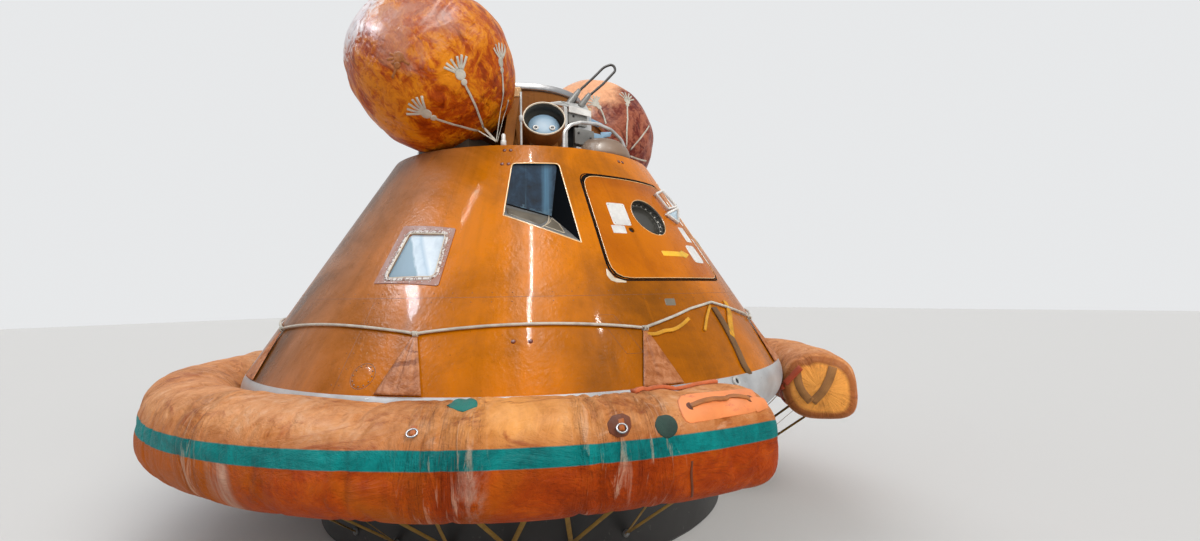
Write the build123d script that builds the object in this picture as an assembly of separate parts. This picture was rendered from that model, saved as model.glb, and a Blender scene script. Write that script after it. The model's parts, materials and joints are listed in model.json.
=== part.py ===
from build123d import *
import math
import os

# A crew-training capsule with its flotation collar and uprighting bags, on a display plinth.
# Millimetres. +Z is up, the origin is on the floor under the capsule's axis, and the side
# hatch faces -Y. Azimuths are degrees from -Y towards +X. Heights are over the cone's lower edge.

# Capsule outline
cone_half_angle = 33.0
largest_radius = 1955.8
corner_radius = 195.6
aft_sphere_radius = 4693.9
cone_height = 1435.6
floor_clearance = 389.0
wall = 90.0
shield_wall = 90.0
panel_line = cone_height * 0.3274
rim_ring_depth = 35.0
rim_ring_width = 60.0
slope = math.tan(math.radians(cone_half_angle))
cone_cos = math.cos(math.radians(cone_half_angle))
cone_sin = math.sin(math.radians(cone_half_angle))
corner_centre = largest_radius - corner_radius
base_radius = corner_centre + corner_radius * cone_cos
rim_radius = base_radius - slope * cone_height

# Cone panels: the lower band's seams, and the upper band's panels by name
lower_panels = 6
first_lower_seam = -38.2
hatch_panel_edge = 22.5
forward_panel_edge = 50.0
side_panel_edge = 80.0
rear_panels = 4

# Side hatch, between two meridians
hatch_half_angle = 20.0
hatch_bottom = cone_height * 0.39
hatch_top = cone_height * 0.8603
hatch_top_corner = 70.0
hatch_bottom_corner = 90.0
hatch_gap = 12.0
hatch_window_height = cone_height * 0.6736
hatch_window_radius = 145.0
hatch_window_depth = 48.0
hatch_window_ledge = 22.0
pane = 12.0
tool_port_azimuth = -9.6
tool_port_height = cone_height * 0.6039
tool_port_radius = 20.0
tool_port_depth = 40.0
handle_tube = 12.0
handle_reach = 70.0
handle_span = 260.0
handle_height = cone_height * 0.5015
handle_bend = 36.0

# Hinge along the hatch's right edge
knuckle_radius = 4.5
knuckle_length = 70.0
knuckle_space = 3.0
hinge_pin_radius = 2.0
hinge_pin_play = 0.05
hinge_middle = (hatch_bottom + hatch_top) / 2
hinge_groups = 2
hinge_pitch = 330.0
hinge_leaf = 4.0

# Forward windows: corners as (azimuth, share of the cone's height), clockwise from the upper left.
# The glass is upright, at a depth from the skin, between a rising sill and a leaning side wall that
# meet it at a corner given as (distance across the glass, share of the cone's height).
forward_window = [(-42.4, 0.9055), (-26.66, 0.9097), (-25.1, 0.5391), (-43.8, 0.6569)]
forward_window_corner = 30.0
forward_window_azimuth = -34.6
forward_glass_height = cone_height * 0.7244
forward_glass_depth = 199.0
forward_sill_corner = (101.5, 0.672)
forward_frame_wall = 10.0

# Side windows: corners of the glass and of the riveted frame, given the same way
side_window = [(-67.5, 0.5886), (-57.4, 0.5782), (-57.0, 0.4082), (-68.4, 0.4061)]
side_frame = [(-70.6, 0.6248), (-55.1, 0.6018), (-55.5, 0.3706), (-71.1, 0.3845)]
side_window_azimuth = -62.9
side_window_height = cone_height * 0.4974
side_window_corner = 28.0
side_frame_corner = 12.0
side_frame_thickness = 5.0
side_glass_depth = 10.0

# Forward deck, docking tunnel and its hatch
deck_thickness = 30.0
tunnel_radius = rim_radius * 0.45365
tunnel_wall = 25.0
tunnel_top = cone_height + rim_radius * 0.59418
tunnel_ring_height = 42.0
tunnel_ring_width = 55.0
tunnel_ring_bore = tunnel_radius - 20.0
tunnel_ring_bore_depth = 60.0
tunnel_foot = 60.0
tunnel_hatch_drop = 70.0
tunnel_hatch_thickness = 45.0
tunnel_hatch_bevel = 85.0
tunnel_ledge_height = 20.0
tunnel_ledge_width = 22.0

# Gussets between the tunnel and the rim
gusset_azimuths = [-45.0, 45.0, 135.0, 225.0]
gusset_web = 24.0
gusset_flange = 68.0
gusset_flange_depth = 16.0
gusset_top_drop = 60.0
gusset_top_width = 70.0
gusset_hole = 70.0
gusset_hole_share = 0.333

# Mortar can, hoist bracket and loop, rim handrail: insets are from the rim, rises over it
can_radius = 143.0
can_wall = 5.0
can_length = 330.0
can_azimuth = -29.3
can_mouth_inset = 132.0
can_mouth_rise = 220.4
can_heading = -38.0
can_rise = 26.0
can_cap_drop = 95.0
can_cap_thickness = 20.0
can_foot_width = 190.0
bracket_azimuth = -4.0
bracket_inset = 227.0
bracket_depth = 125.0
bracket_width = 120.0
bracket_top = cone_height + rim_radius * 0.40768
bracket_slope = 60.0
loop_tube = 9.0
handrail_tube = 12.0
handrail_inset = 30.0

# Uprighting bags, each on a tray that nests it: (azimuth, then the inset from the rim and the rise
# over it, as shares of the rim's radius)
bag_radius = rim_radius * 0.55043
bag_places = [(-78.4, 0.0413, 0.568), (99.9, -0.004, 0.4853)]
bag_clearance = 1.0
tray_tunnel_gap = rim_radius * 0.1109
tray_inset = rim_radius * 0.0978
tray_half_angle = 16.0
tray_height = rim_radius * 0.1512

# Flotation collar: open beside the hatch, in bays, its inner side lying on the heat shield
collar_width = 500.0
collar_depth = 440.0
collar_corner = 205.0
collar_lower_corner = 125.0
collar_height = -200.0
collar_start = 27.0
collar_end = 351.0
collar_bays = 7
collar_end_rounding = 110.0
collar_seat_gap = 0.5

# Triangular cloth flaps that tie the collar to the cone
flap_first = -57.0
flap_step = 40.0
flap_count = 9
flap_height = 274.0
flap_foot = 8.0
flap_thickness = 6.0
flap_half_angle = 3.8
flap_tip = 12.0

# Cabin
floor_thickness = 40.0
couch_width = 520.0
couch_pitch = 570.0
couch_back_length = 960.0
couch_seat_length = 420.0
couch_pad = 80.0
couch_height = 330.0
couch_head = -1050.0
couch_beam = 70.0
beam_inset = 190.0
console_tunnel_gap = 30.0
console_depth_share = 0.52
console_wall_gap = 50.0
console_height = 500.0
bay_half_angle = 34.0
bay_depth = 255.0
bay_height = 620.0

# Plinth and its cradle ring
plinth_radius = 1487.0
plinth_rim = 90.0
plinth_well = 330.0
cradle_thickness = 42.0
plinth_foot = 25.0

# Worked out from the outline
corner_drop = corner_radius * cone_sin
sphere_rise = math.sqrt((aft_sphere_radius - corner_radius) ** 2 - corner_centre ** 2)
shield_depth = aft_sphere_radius - sphere_rise + corner_drop
base_z = floor_clearance + shield_depth
rim_height = cone_height - rim_ring_depth
deck_bottom = rim_height - deck_thickness
floor_bottom = -shield_wall * cone_sin
far = 6000.0
full_turn = 360.0


def cone_radius(height, inset=0.0):
    """Radius of the cone at a height, or of the surface that lies inset inside it."""
    return base_radius - slope * height - inset / cone_cos


def up_cone(corners):
    """Corners whose share of the cone's height is turned into a height."""
    return [(azimuth, share * cone_height) for azimuth, share in corners]


def at(azimuth, radius, height):
    """Point at an azimuth and a distance from the axis, at a height over the cone's edge."""
    turn = math.radians(azimuth)
    return Vector(radius * math.sin(turn), -radius * math.cos(turn), base_z + height)


def spun(points, start, end):
    """Solid swept round the axis from one azimuth to another by a (radius, height) outline."""
    outline = Polyline(*[(radius, base_z + height) for radius, height in points], close=True)
    face = Plane.XZ * make_face(outline)
    return revolve(face, axis=Axis.Z, revolution_arc=end - start).rotate(Axis.Z, start - 90)


def band(low, high, start, end, inner=wall, outer=0.0):
    """Piece of the conical wall whose lower and upper faces stand square to the cone."""
    points = []
    for height, inset in ((low, outer), (high, outer), (high, inner), (low, inner)):
        points.append((cone_radius(height) - inset * cone_cos, height - inset * cone_sin))
    return spun(points, start, end)


def skin_plane(azimuth, height):
    """Plane that touches the cone, with X level and Y up the slope."""
    turn = math.radians(azimuth)
    normal = (cone_cos * math.sin(turn), -cone_cos * math.cos(turn), cone_sin)
    return Plane(at(azimuth, cone_radius(height), height), (math.cos(turn), math.sin(turn), 0), normal)


def upright_plane(azimuth, radius):
    """Upright plane square to an azimuth, at a distance from the axis, at the cone's edge height."""
    turn = math.radians(azimuth)
    across = (math.cos(turn), math.sin(turn), 0)
    return Plane(at(azimuth, radius, 0), across, (math.sin(turn), -math.cos(turn), 0))


def outline_on(plane, corners, rounding=0.0):
    """Face on a plane through corners of the cone given as (azimuth, height)."""
    points = []
    for azimuth, height in corners:
        local = plane.to_local_coords(at(azimuth, cone_radius(height), height))
        points.append((local.X, local.Y))
    face = make_face(Polyline(*points, close=True))
    if rounding > 0:
        face = fillet(face.vertices(), rounding)
    return plane * face


def tube_along(points, radii, tube):
    """Round bar along straight runs joined by arcs."""
    path = FilletPolyline(*points, radius=radii)
    start = Plane(path @ 0, z_dir=path % 0)
    return sweep(start * Circle(tube), path=path)


def mirrored(solid):
    """The same piece on the other side of the hatch's middle plane."""
    return solid.mirror(Plane.YZ)


# Heat shield: a round corner that runs into a shallow spherical bowl, with an open top
def aft_shield():
    centre = (corner_centre, base_z - corner_drop)
    bowl_centre = base_z - corner_drop + sphere_rise
    inner_corner = corner_radius - shield_wall
    inner_sphere = aft_sphere_radius - shield_wall
    reach = math.hypot(corner_centre, sphere_rise)
    meet_x = corner_centre / reach
    meet_z = -sphere_rise / reach
    middle = math.radians((cone_half_angle - math.degrees(math.asin(-meet_z))) / 2)
    half_bowl = math.asin(meet_x) / 2

    def on_corner(radius, x, z):
        return (centre[0] + radius * x, centre[1] + radius * z)

    def on_bowl(radius, angle):
        return (radius * math.sin(angle), bowl_centre - radius * math.cos(angle))

    edges = []
    for corner, sphere in ((corner_radius, aft_sphere_radius), (inner_corner, inner_sphere)):
        top = on_corner(corner, cone_cos, cone_sin)
        side = on_corner(corner, math.cos(middle), math.sin(middle))
        low = on_corner(corner, meet_x, meet_z)
        edges.append(ThreePointArc(top, side, low))
        edges.append(ThreePointArc(low, on_bowl(sphere, half_bowl), on_bowl(sphere, 0)))
    edges.append(Line(on_bowl(aft_sphere_radius, 0), on_bowl(inner_sphere, 0)))
    rim = [on_corner(radius, cone_cos, cone_sin) for radius in (inner_corner, corner_radius)]
    edges.append(Line(rim[0], rim[1]))
    return revolve(Plane.XZ * make_face(edges), axis=Axis.Z)


def hatch_body(grow, inner, outer):
    """The hatch's outline carried through the wall, grown all round by a gap."""
    spread = math.degrees(grow / cone_radius((hatch_bottom + hatch_top) / 2))
    body = band(hatch_bottom - grow * cone_cos, hatch_top + grow * cone_cos,
                -hatch_half_angle - spread, hatch_half_angle + spread, inner, outer)
    middle_z = base_z + (hatch_bottom + hatch_top) / 2 - inner * cone_sin
    for corner in (hatch_top_corner, hatch_bottom_corner):
        lines = body.edges().filter_by(GeomType.LINE)
        across = [edge for edge in lines if abs(edge.length - inner + outer) < pane]
        high = [edge for edge in across if edge.center().Z > middle_z]
        low = [edge for edge in across if edge.center().Z < middle_z]
        body = fillet(high if corner == hatch_top_corner else low, corner + grow)
    return body


# Side windows and forward windows, on the -X side
side_plane = skin_plane(side_window_azimuth, side_window_height)
side_tool_depth = 2 * wall
forward_glass_radius = cone_radius(forward_glass_height) - forward_glass_depth


def side_prism(corners, rounding, depth):
    """Prism square to the skin through a side window's corners, from just outside to a depth."""
    face = outline_on(side_plane, up_cone(corners), rounding)
    return extrude(face, side_tool_depth).fuse(extrude(face, -depth))


def through(first, second, third, towards):
    """Plane through three points whose normal leans to the same side as a direction."""
    normal = (second - first).cross(third - first).normalized()
    if normal.dot(towards) < 0:
        normal = normal * -1
    return Plane(first, z_dir=normal)


def forward_recess(grow, inner_radius):
    """Space of a forward window, level and inward to an upright plane, over its sill and side wall."""
    plane = upright_plane(forward_window_azimuth, inner_radius)
    corners = up_cone(forward_window)
    outline = outline_on(plane, corners)
    if grow > 0:
        outline = offset(outline, amount=grow, kind=Kind.INTERSECTION)
    upper = outline.vertices().sort_by(Axis.Z)[-2:]
    block = extrude(fillet(upper, forward_window_corner + grow), largest_radius - inner_radius)
    spots = [at(azimuth, cone_radius(height), height) for azimuth, height in corners[1:]]
    high_right, low_right, low_left = spots
    across, share = forward_sill_corner
    glass = upright_plane(forward_window_azimuth, forward_glass_radius)
    inner = glass.from_local_coords((across, share * cone_height, 0))
    for wall_plane in (through(low_left, low_right, inner, Vector(0, 0, 1)),
                       through(high_right, low_right, inner, plane.x_dir * -1)):
        block = block.split(wall_plane.offset(-grow), keep=Keep.TOP)
    return block


def forward_pane():
    """Glass across the inner end of a forward window's recess."""
    inner = forward_recess(0, forward_glass_radius - pane)
    plane = upright_plane(forward_window_azimuth, forward_glass_radius)
    return inner.split(plane, keep=Keep.BOTTOM)


def upper_panel(start, end):
    """Panel of the upper band, from the panel line to a level edge under the rim ring."""
    top = rim_height
    outer_low = (cone_radius(panel_line), panel_line)
    inner_low = (outer_low[0] - wall * cone_cos, panel_line - wall * cone_sin)
    points = [outer_low, (cone_radius(top), top), (cone_radius(top, wall), top), inner_low]
    return spun(points, start, end)


def lower_panel(start, end):
    """Panel of the lower band, from the heat shield's edge to the panel line."""
    return band(0, panel_line, start, end)


def forward_window_panel():
    panel = upper_panel(-forward_panel_edge, -hatch_panel_edge)
    sleeve = forward_recess(forward_frame_wall, forward_glass_radius - pane)
    inside = spun([(0, 0), (cone_radius(0, wall / 2), 0), (cone_radius(rim_height, wall / 2), rim_height),
                   (0, rim_height)], -forward_panel_edge - side_panel_edge, forward_panel_edge)
    return panel + (sleeve & inside) - forward_recess(0, forward_glass_radius - 2 * pane)


def side_window_panel():
    panel = upper_panel(-side_panel_edge, -forward_panel_edge)
    return panel - side_prism(side_window, side_window_corner, 2 * wall)


def side_pane():
    face = outline_on(side_plane.offset(-side_glass_depth), up_cone(side_window), side_window_corner)
    return extrude(face, -pane)


def side_window_frame():
    skin = band(panel_line, rim_height, -side_panel_edge, -forward_panel_edge, 0, -side_frame_thickness)
    opening = side_prism(side_window, side_window_corner, 3 * wall)
    return skin & (side_prism(side_frame, side_frame_corner, 2 * wall) - opening)


# Side hatch with its window bore, tool port and inner handle
hatch_plane = skin_plane(0, hatch_window_height)


def window_bore(radius, depth):
    return extrude(hatch_plane.offset(wall) * Circle(radius), -wall - depth)


def side_hatch():
    door = hatch_body(0, wall, 0)
    door = door - window_bore(hatch_window_radius, hatch_window_depth + pane)
    door = door - window_bore(hatch_window_radius - hatch_window_ledge, 2 * wall)
    port = skin_plane(tool_port_azimuth, tool_port_height)
    return door - extrude(port.offset(wall) * Circle(tool_port_radius), -wall - tool_port_depth)


def hatch_window():
    return extrude(hatch_plane.offset(-hatch_window_depth) * Circle(hatch_window_radius), -pane)


def hatch_handle():
    plane = skin_plane(0, handle_height).offset(-wall)
    half = handle_span / 2
    points = [plane.from_local_coords(local) for local in
              ((-half, 0, 0), (-half, 0, -handle_reach), (half, 0, -handle_reach), (half, 0, 0))]
    return tube_along(points, handle_bend, handle_tube) - hatch_body(0, wall, 0)


# Hinge: two groups of three knuckles on the skin, in the gap at the hatch's right edge
gap_angle = math.degrees(hatch_gap / cone_radius(hinge_middle))
hinge_azimuth = hatch_half_angle + gap_angle / 2
hinge_plane = skin_plane(hinge_azimuth, hinge_middle)


def knuckle(group, slot, side):
    """One knuckle, its place counted along the hinge, with a leaf towards one side of the gap."""
    pitch = knuckle_length + knuckle_space
    low = (group - (hinge_groups - 1) / 2) * hinge_pitch + (slot - 1) * pitch - knuckle_length / 2
    line = Plane(hinge_plane.from_local_coords((0, low, 0)), hinge_plane.x_dir, hinge_plane.y_dir)
    barrel = extrude(line * Circle(knuckle_radius), knuckle_length)
    middle = hinge_plane.from_local_coords((side * hatch_gap / 2, low + knuckle_length / 2, -hinge_leaf / 2))
    leaf = Plane(middle, hinge_plane.x_dir, hinge_plane.z_dir) * Box(hatch_gap, knuckle_length, hinge_leaf)
    return barrel.fuse(leaf)


def hinge_rod(group, radius, length):
    low = (group - (hinge_groups - 1) / 2) * hinge_pitch - length / 2
    line = Plane(hinge_plane.from_local_coords((0, low, 0)), hinge_plane.x_dir, hinge_plane.y_dir)
    return extrude(line * Circle(radius), length)


def hinge_frame_side():
    solids = []
    length = 3 * knuckle_length + 2 * knuckle_space
    jamb = hatch_surround()
    for group in range(hinge_groups):
        solid = hinge_rod(group, hinge_pin_radius, length)
        for slot in (0, 2):
            solid = solid.fuse(knuckle(group, slot, 1) - jamb)
        solids.append(solid)
    return solids


def hinge_hatch_side():
    door = hatch_body(0, wall, 0)
    bore = hinge_pin_radius + hinge_pin_play
    rods = [hinge_rod(group, bore, 2 * knuckle_length) for group in range(hinge_groups)]
    return [knuckle(group, 1, -1) - door - rods[group] for group in range(hinge_groups)]


def hatch_surround():
    opening = hatch_body(hatch_gap, wall + hatch_gap, -hatch_gap)
    return upper_panel(-hatch_panel_edge, hatch_panel_edge) - opening


# Forward deck and what stands on it
def rim_ring():
    outer = rim_radius
    return spun([(cone_radius(rim_height), rim_height), (outer, cone_height),
                 (outer - rim_ring_width, cone_height), (outer - rim_ring_width, rim_height)], 0, full_turn)


def forward_deck():
    return spun([(tunnel_radius, deck_bottom), (cone_radius(deck_bottom, wall), deck_bottom),
                 (cone_radius(rim_height, wall), rim_height), (tunnel_radius, rim_height)], 0, full_turn)


def docking_tunnel():
    inner = tunnel_radius - tunnel_wall
    lip = tunnel_radius + (tunnel_ring_width - tunnel_wall) / 2
    ledge = tunnel_top - tunnel_hatch_drop - tunnel_hatch_thickness
    ring = tunnel_top - tunnel_ring_height
    step = tunnel_top - tunnel_ring_bore_depth
    lip_in = inner - tunnel_ledge_width
    foot = deck_bottom - tunnel_foot
    under = ledge - tunnel_ledge_height
    return spun([(inner, foot), (tunnel_radius, foot), (tunnel_radius, ring), (lip, ring), (lip, tunnel_top),
                 (tunnel_ring_bore, tunnel_top), (tunnel_ring_bore, step), (inner, step), (inner, ledge),
                 (lip_in, ledge), (lip_in, under), (inner, under)], 0, full_turn)


def tunnel_hatch():
    low = tunnel_top - tunnel_hatch_drop - tunnel_hatch_thickness
    top = low + tunnel_hatch_thickness
    edge = tunnel_radius - tunnel_wall
    return spun([(0, low), (edge, low), (edge, (low + top) / 2), (edge - tunnel_hatch_bevel, top), (0, top)],
                0, full_turn)


def gusset(azimuth):
    """Radial web from the tunnel down to the rim, with a lightening hole and an outer flange."""
    foot = cone_radius(cone_height) - rim_ring_width
    top = tunnel_top - tunnel_ring_height - gusset_top_drop
    plane = Plane(at(azimuth, 0, 0), at(azimuth, 1, 0) - at(azimuth, 0, 0), Vector(
        -math.cos(math.radians(azimuth)), -math.sin(math.radians(azimuth)), 0))
    outer_top = tunnel_radius + gusset_top_width
    foot_top = rim_height + rim_ring_depth
    web = make_face(Polyline((tunnel_radius, rim_height), (foot, rim_height), (foot, foot_top),
                             (outer_top, top), (tunnel_radius, top), close=True))
    hole_out = tunnel_radius + (foot - tunnel_radius) * gusset_hole_share
    hole = Pos(hole_out, rim_height + (top - rim_height) * gusset_hole_share) * Circle(gusset_hole)
    edge = make_face(Polyline((foot, foot_top), (outer_top, top), (outer_top - gusset_flange_depth, top),
                              (foot - gusset_flange_depth, foot_top), close=True))
    solid = extrude(plane * (web - hole), gusset_web / 2, both=True)
    return solid.fuse(extrude(plane * edge, gusset_flange / 2, both=True)) - rim_ring()


can_turn = math.radians(can_heading)
can_tilt = math.radians(can_rise)
can_level = math.cos(can_tilt)
can_axis = Vector(can_level * math.sin(can_turn), -can_level * math.cos(can_turn), math.sin(can_tilt))
can_mouth = at(can_azimuth, rim_radius - can_mouth_inset, cone_height + can_mouth_rise)
can_plane = Plane(can_mouth, z_dir=can_axis)


def mortar_can():
    """Open can that leans outwards on a foot, with a recessed cap."""
    body = extrude(can_plane * Circle(can_radius), -can_length)
    deck = Plane.XY.offset(base_z + rim_height)
    foot = extrude(Plane(can_plane.from_local_coords((0, 0, -can_length / 2)), can_plane.x_dir, (0, 0, 1))
                   * Rectangle(can_foot_width, can_foot_width), -far).split(deck, keep=Keep.TOP)
    bore = extrude(can_plane * Circle(can_radius - can_wall), -can_length + can_wall)
    cap = extrude(can_plane.offset(-can_cap_drop) * Circle(can_radius - can_wall), -can_cap_thickness)
    return body.fuse(foot).split(deck, keep=Keep.TOP).cut(bore).fuse(cap)


bracket_turn = math.radians(bracket_azimuth)


def hoist_bracket():
    """Upright box on the deck with a sloping top that carries the hoist loop."""
    plane = Plane(at(bracket_azimuth, 0, rim_height), at(bracket_azimuth, 1, 0) - at(bracket_azimuth, 0, 0),
                  Vector(-math.cos(bracket_turn), -math.sin(bracket_turn), 0))
    top = bracket_top - rim_height
    outer = rim_radius - bracket_inset
    inner = outer - bracket_depth
    corners = [(inner, 0), (outer, 0), (outer, top - bracket_slope), (inner, top)]
    side = make_face(Polyline(*corners, close=True))
    return extrude(plane * side, bracket_width / 2, both=True)


# Hoist loop: (right, towards the rim, up) from the top of the bracket, leaning out over the hatch
loop_points = [(-45, -30, -40), (-10, 6, 90), (70, 88, 195), (121, 140, 267), (168, 188, 290),
               (181, 198, 240), (115, 133, 143), (43, 60, 58), (0, 18, -40)]
loop_bends = [150, 150, 110, 30, 30, 110, 150]


def hoist_loop():
    foot = at(bracket_azimuth, rim_radius - bracket_inset - bracket_depth / 2, bracket_top)
    points = [foot + Vector(right, -outward, up) for right, outward, up in loop_points]
    return tube_along(points, loop_bends, loop_tube) - hoist_bracket()


# Handrail over the rim: ends by azimuth, then (share of its chord, rise over the rim)
rail_azimuths = (-22.7, 13.3)
rail_points = [(0, -16), (0.007, 109), (0.1, 166), (0.25, 198),
               (0.5, 212), (0.71, 192), (0.88, 134), (1, -16)]
rail_bends = [60, 90, 90, 150, 120, 90]


def rim_handrail():
    first, last = [at(azimuth, rim_radius - handrail_inset, cone_height) for azimuth in rail_azimuths]
    points = [first + (last - first) * share + Vector(0, 0, rise) for share, rise in rail_points]
    rim = Plane.XY.offset(base_z + cone_height)
    return tube_along(points, rail_bends, handrail_tube).split(rim, keep=Keep.TOP)


# Uprighting bags and the trays that nest them
def bag_ball(place, grow=0.0):
    azimuth, inset, rise = place
    middle = at(azimuth, rim_radius * (1 - inset), cone_height + rim_radius * rise)
    return Pos(middle) * Sphere(bag_radius + grow)


def uprighting_bag(place):
    lip = tunnel_radius + (tunnel_ring_width - tunnel_wall) / 2 + bag_clearance
    core = Pos(0, 0, base_z + cone_height) * Cylinder(lip, far)
    ball = bag_ball(place) - core
    return ball.split(Plane.XY.offset(base_z + cone_height + bag_clearance), keep=Keep.TOP)


def bag_tray(place):
    azimuth = place[0]
    inner = tunnel_radius + tray_tunnel_gap
    outer = rim_radius - tray_inset
    block = spun([(inner, rim_height), (outer, rim_height), (outer, rim_height + tray_height),
                  (inner, rim_height + tray_height)], azimuth - tray_half_angle, azimuth + tray_half_angle)
    return block - bag_ball(place)


# Flotation collar: the rounding of its upper inner edge touches the heat shield's round corner
seat_reach = corner_radius + collar_corner + collar_seat_gap
seat_drop = collar_height + collar_depth / 2 - collar_corner + corner_drop
seat_out = math.sqrt(seat_reach ** 2 - seat_drop ** 2)
collar_radius = corner_centre + seat_out - collar_corner + collar_width / 2


def collar_bay(index):
    level = 0.1
    sweep_angle = (collar_end - collar_start) / collar_bays
    outline = Plane.XZ * Pos(collar_radius, base_z + collar_height) * Rectangle(collar_width, collar_depth)
    corners = outline.vertices().sort_by(lambda corner: corner.X - corner.Z)
    section = fillet(corners[:-1], collar_corner)
    lowest = section.vertices().sort_by(lambda corner: corner.X - corner.Z)[-1]
    section = fillet(lowest, collar_lower_corner)
    start = collar_start + index * sweep_angle
    bay = revolve(section, axis=Axis.Z, revolution_arc=sweep_angle).rotate(Axis.Z, start - 90)
    if index in (0, collar_bays - 1):
        ends = bay.faces().filter_by(GeomType.PLANE).filter_by(lambda face: abs(face.normal_at().Z) < level)
        middle = at(start + (0 if index == 0 else sweep_angle), collar_radius, collar_height)
        end = ends.sort_by_distance(middle)[0]
        bay = fillet(end.edges(), collar_end_rounding)
    return bay


def collar_flap(azimuth):
    """Thin triangle of cloth that lies on the cone, wide at the collar and narrow at the rope."""
    plane = skin_plane(azimuth, flap_height / 2)
    wide = [(azimuth - flap_half_angle, flap_foot), (azimuth + flap_half_angle, flap_foot)]
    spread = math.degrees(flap_tip / cone_radius(flap_height))
    narrow = [(azimuth + spread, flap_height), (azimuth - spread, flap_height)]
    prism = extrude(outline_on(plane, wide + narrow), wall, both=True)
    reach = 2 * flap_half_angle
    skin = band(0, panel_line, azimuth - reach, azimuth + reach, 0, -flap_thickness)
    return skin & prism


# Cabin
def cabin_floor():
    low = cone_radius(floor_bottom, wall)
    high = cone_radius(floor_bottom + floor_thickness, wall)
    return spun([(0, floor_bottom), (low, floor_bottom), (high, floor_bottom + floor_thickness),
                 (0, floor_bottom + floor_thickness)], 0, full_turn)


def crew_couches():
    """Three couches side by side, each a back and a seat, on two cross beams with legs."""
    floor_top = base_z + floor_bottom + floor_thickness
    pad_z = base_z + couch_height
    seats = couch_head + couch_back_length
    seat_end = seats + couch_pad
    back_top = pad_z + couch_pad
    seat_top = pad_z + couch_seat_length
    back = [(couch_head, pad_z), (seats, pad_z), (seats, back_top), (couch_head, back_top)]
    seat = [(seats, pad_z), (seat_end, pad_z), (seat_end, seat_top), (seats, seat_top)]
    leg_height = pad_z - couch_beam - floor_top
    solids = []
    for x in (-couch_pitch, 0, couch_pitch):
        for profile in (back, seat):
            side = Plane.YZ.offset(x) * make_face(Polyline(*profile, close=True))
            solids.append(extrude(side, couch_width / 2, both=True))
    for y in (couch_head + beam_inset, seats - beam_inset):
        beam = Box(2 * couch_pitch + couch_width, couch_beam, couch_beam)
        solids.append(Pos(0, y, pad_z - couch_beam / 2) * beam)
        for x in (-couch_pitch, 0, couch_pitch):
            solids.append(Pos(x, y, floor_top + leg_height / 2) * Box(couch_beam, couch_beam, leg_height))
    return solids


def display_console():
    """Panel under the deck that faces the couches, with a sloping front."""
    top = base_z + deck_bottom
    room = cone_radius(deck_bottom, wall)
    near = tunnel_radius + console_tunnel_gap
    back = near + (room - tunnel_radius) * console_depth_share
    half_width = math.sqrt((room - console_wall_gap) ** 2 - back ** 2)
    side = make_face(Polyline(((near + back) / 2, top - console_height), (back, top - console_height),
                              (back, top), (near, top), close=True))
    return extrude(Plane.YZ * side, half_width, both=True)


def equipment_bay():
    """Lockers on the floor against the wall across from the hatch."""
    low = floor_bottom + floor_thickness
    top = low + bay_height
    inner = cone_radius(top, wall) - bay_depth
    return spun([(inner, low), (cone_radius(low, wall), low), (cone_radius(top, wall), top), (inner, top)],
                full_turn / 2 - bay_half_angle, full_turn / 2 + bay_half_angle)


# Plinth with a well under the heat shield, and the ring that the shield rests on
def shield_underside(radius):
    return floor_clearance + aft_sphere_radius - math.sqrt(aft_sphere_radius ** 2 - radius ** 2)


plinth_inner = plinth_radius - plinth_rim
plinth_top = shield_underside(plinth_inner) - cradle_thickness


def plinth():
    outline = Polyline((0, 0), (plinth_radius - plinth_foot, 0), (plinth_radius, plinth_foot),
                       (plinth_radius, plinth_top), (plinth_inner, plinth_top),
                       (plinth_inner, plinth_well), (0, plinth_well), close=True)
    return revolve(Plane.XZ * make_face(outline), axis=Axis.Z)


def cradle_ring():
    middle = plinth_radius - plinth_rim / 2
    outer_seat = (plinth_radius, shield_underside(plinth_radius))
    inner_seat = (plinth_inner, shield_underside(plinth_inner))
    edges = Polyline(inner_seat, (plinth_inner, plinth_top), (plinth_radius, plinth_top), outer_seat)
    seat = ThreePointArc(outer_seat, (middle, shield_underside(middle)), inner_seat)
    return revolve(Plane.XZ * make_face([*edges.edges(), seat]), axis=Axis.Z)


# Every node by name
nodes = {
    "aft_heat_shield": aft_shield(),
    "cabin_floor": cabin_floor(),
    "crew_couches": crew_couches(),
    "display_console": display_console(),
    "equipment_bay": equipment_bay(),
    "hatch_surround": hatch_surround(),
    "rim_ring": rim_ring(),
    "forward_deck": forward_deck(),
    "docking_tunnel": docking_tunnel(),
    "tunnel_hatch": tunnel_hatch(),
    "mortar_can": mortar_can(),
    "hoist_bracket": hoist_bracket(),
    "hoist_loop": hoist_loop(),
    "rim_handrail": rim_handrail(),
    "hatch_hinge_frame_side": hinge_frame_side(),
    "side_hatch": side_hatch(),
    "side_hatch_window": hatch_window(),
    "side_hatch_handle": hatch_handle(),
    "hatch_hinge_hatch_side": hinge_hatch_side(),
    "plinth": plinth(),
    "cradle_ring": cradle_ring(),
    "collar_flaps": [collar_flap(flap_first + index * flap_step) for index in range(flap_count)],
}
lower_step = full_turn / lower_panels
for index in range(lower_panels):
    start = first_lower_seam + index * lower_step
    nodes[f"lower_panel_{index + 1}"] = lower_panel(start, start + lower_step)
rear_step = (full_turn - 2 * side_panel_edge) / rear_panels
for index in range(rear_panels):
    start = side_panel_edge + index * rear_step
    nodes[f"rear_panel_{index + 1}"] = upper_panel(start, start + rear_step)
both_sides = {
    "forward_window_panel": forward_window_panel(),
    "forward_window_glass": forward_pane(),
    "side_window_panel": side_window_panel(),
    "side_window_glass": side_pane(),
    "side_window_frame": side_window_frame(),
}
for name, solid in both_sides.items():
    nodes[f"{name}_left"] = solid
    nodes[f"{name}_right"] = mirrored(solid)
for index, azimuth in enumerate(gusset_azimuths):
    nodes[f"gusset_{index + 1}"] = gusset(azimuth)
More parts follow.
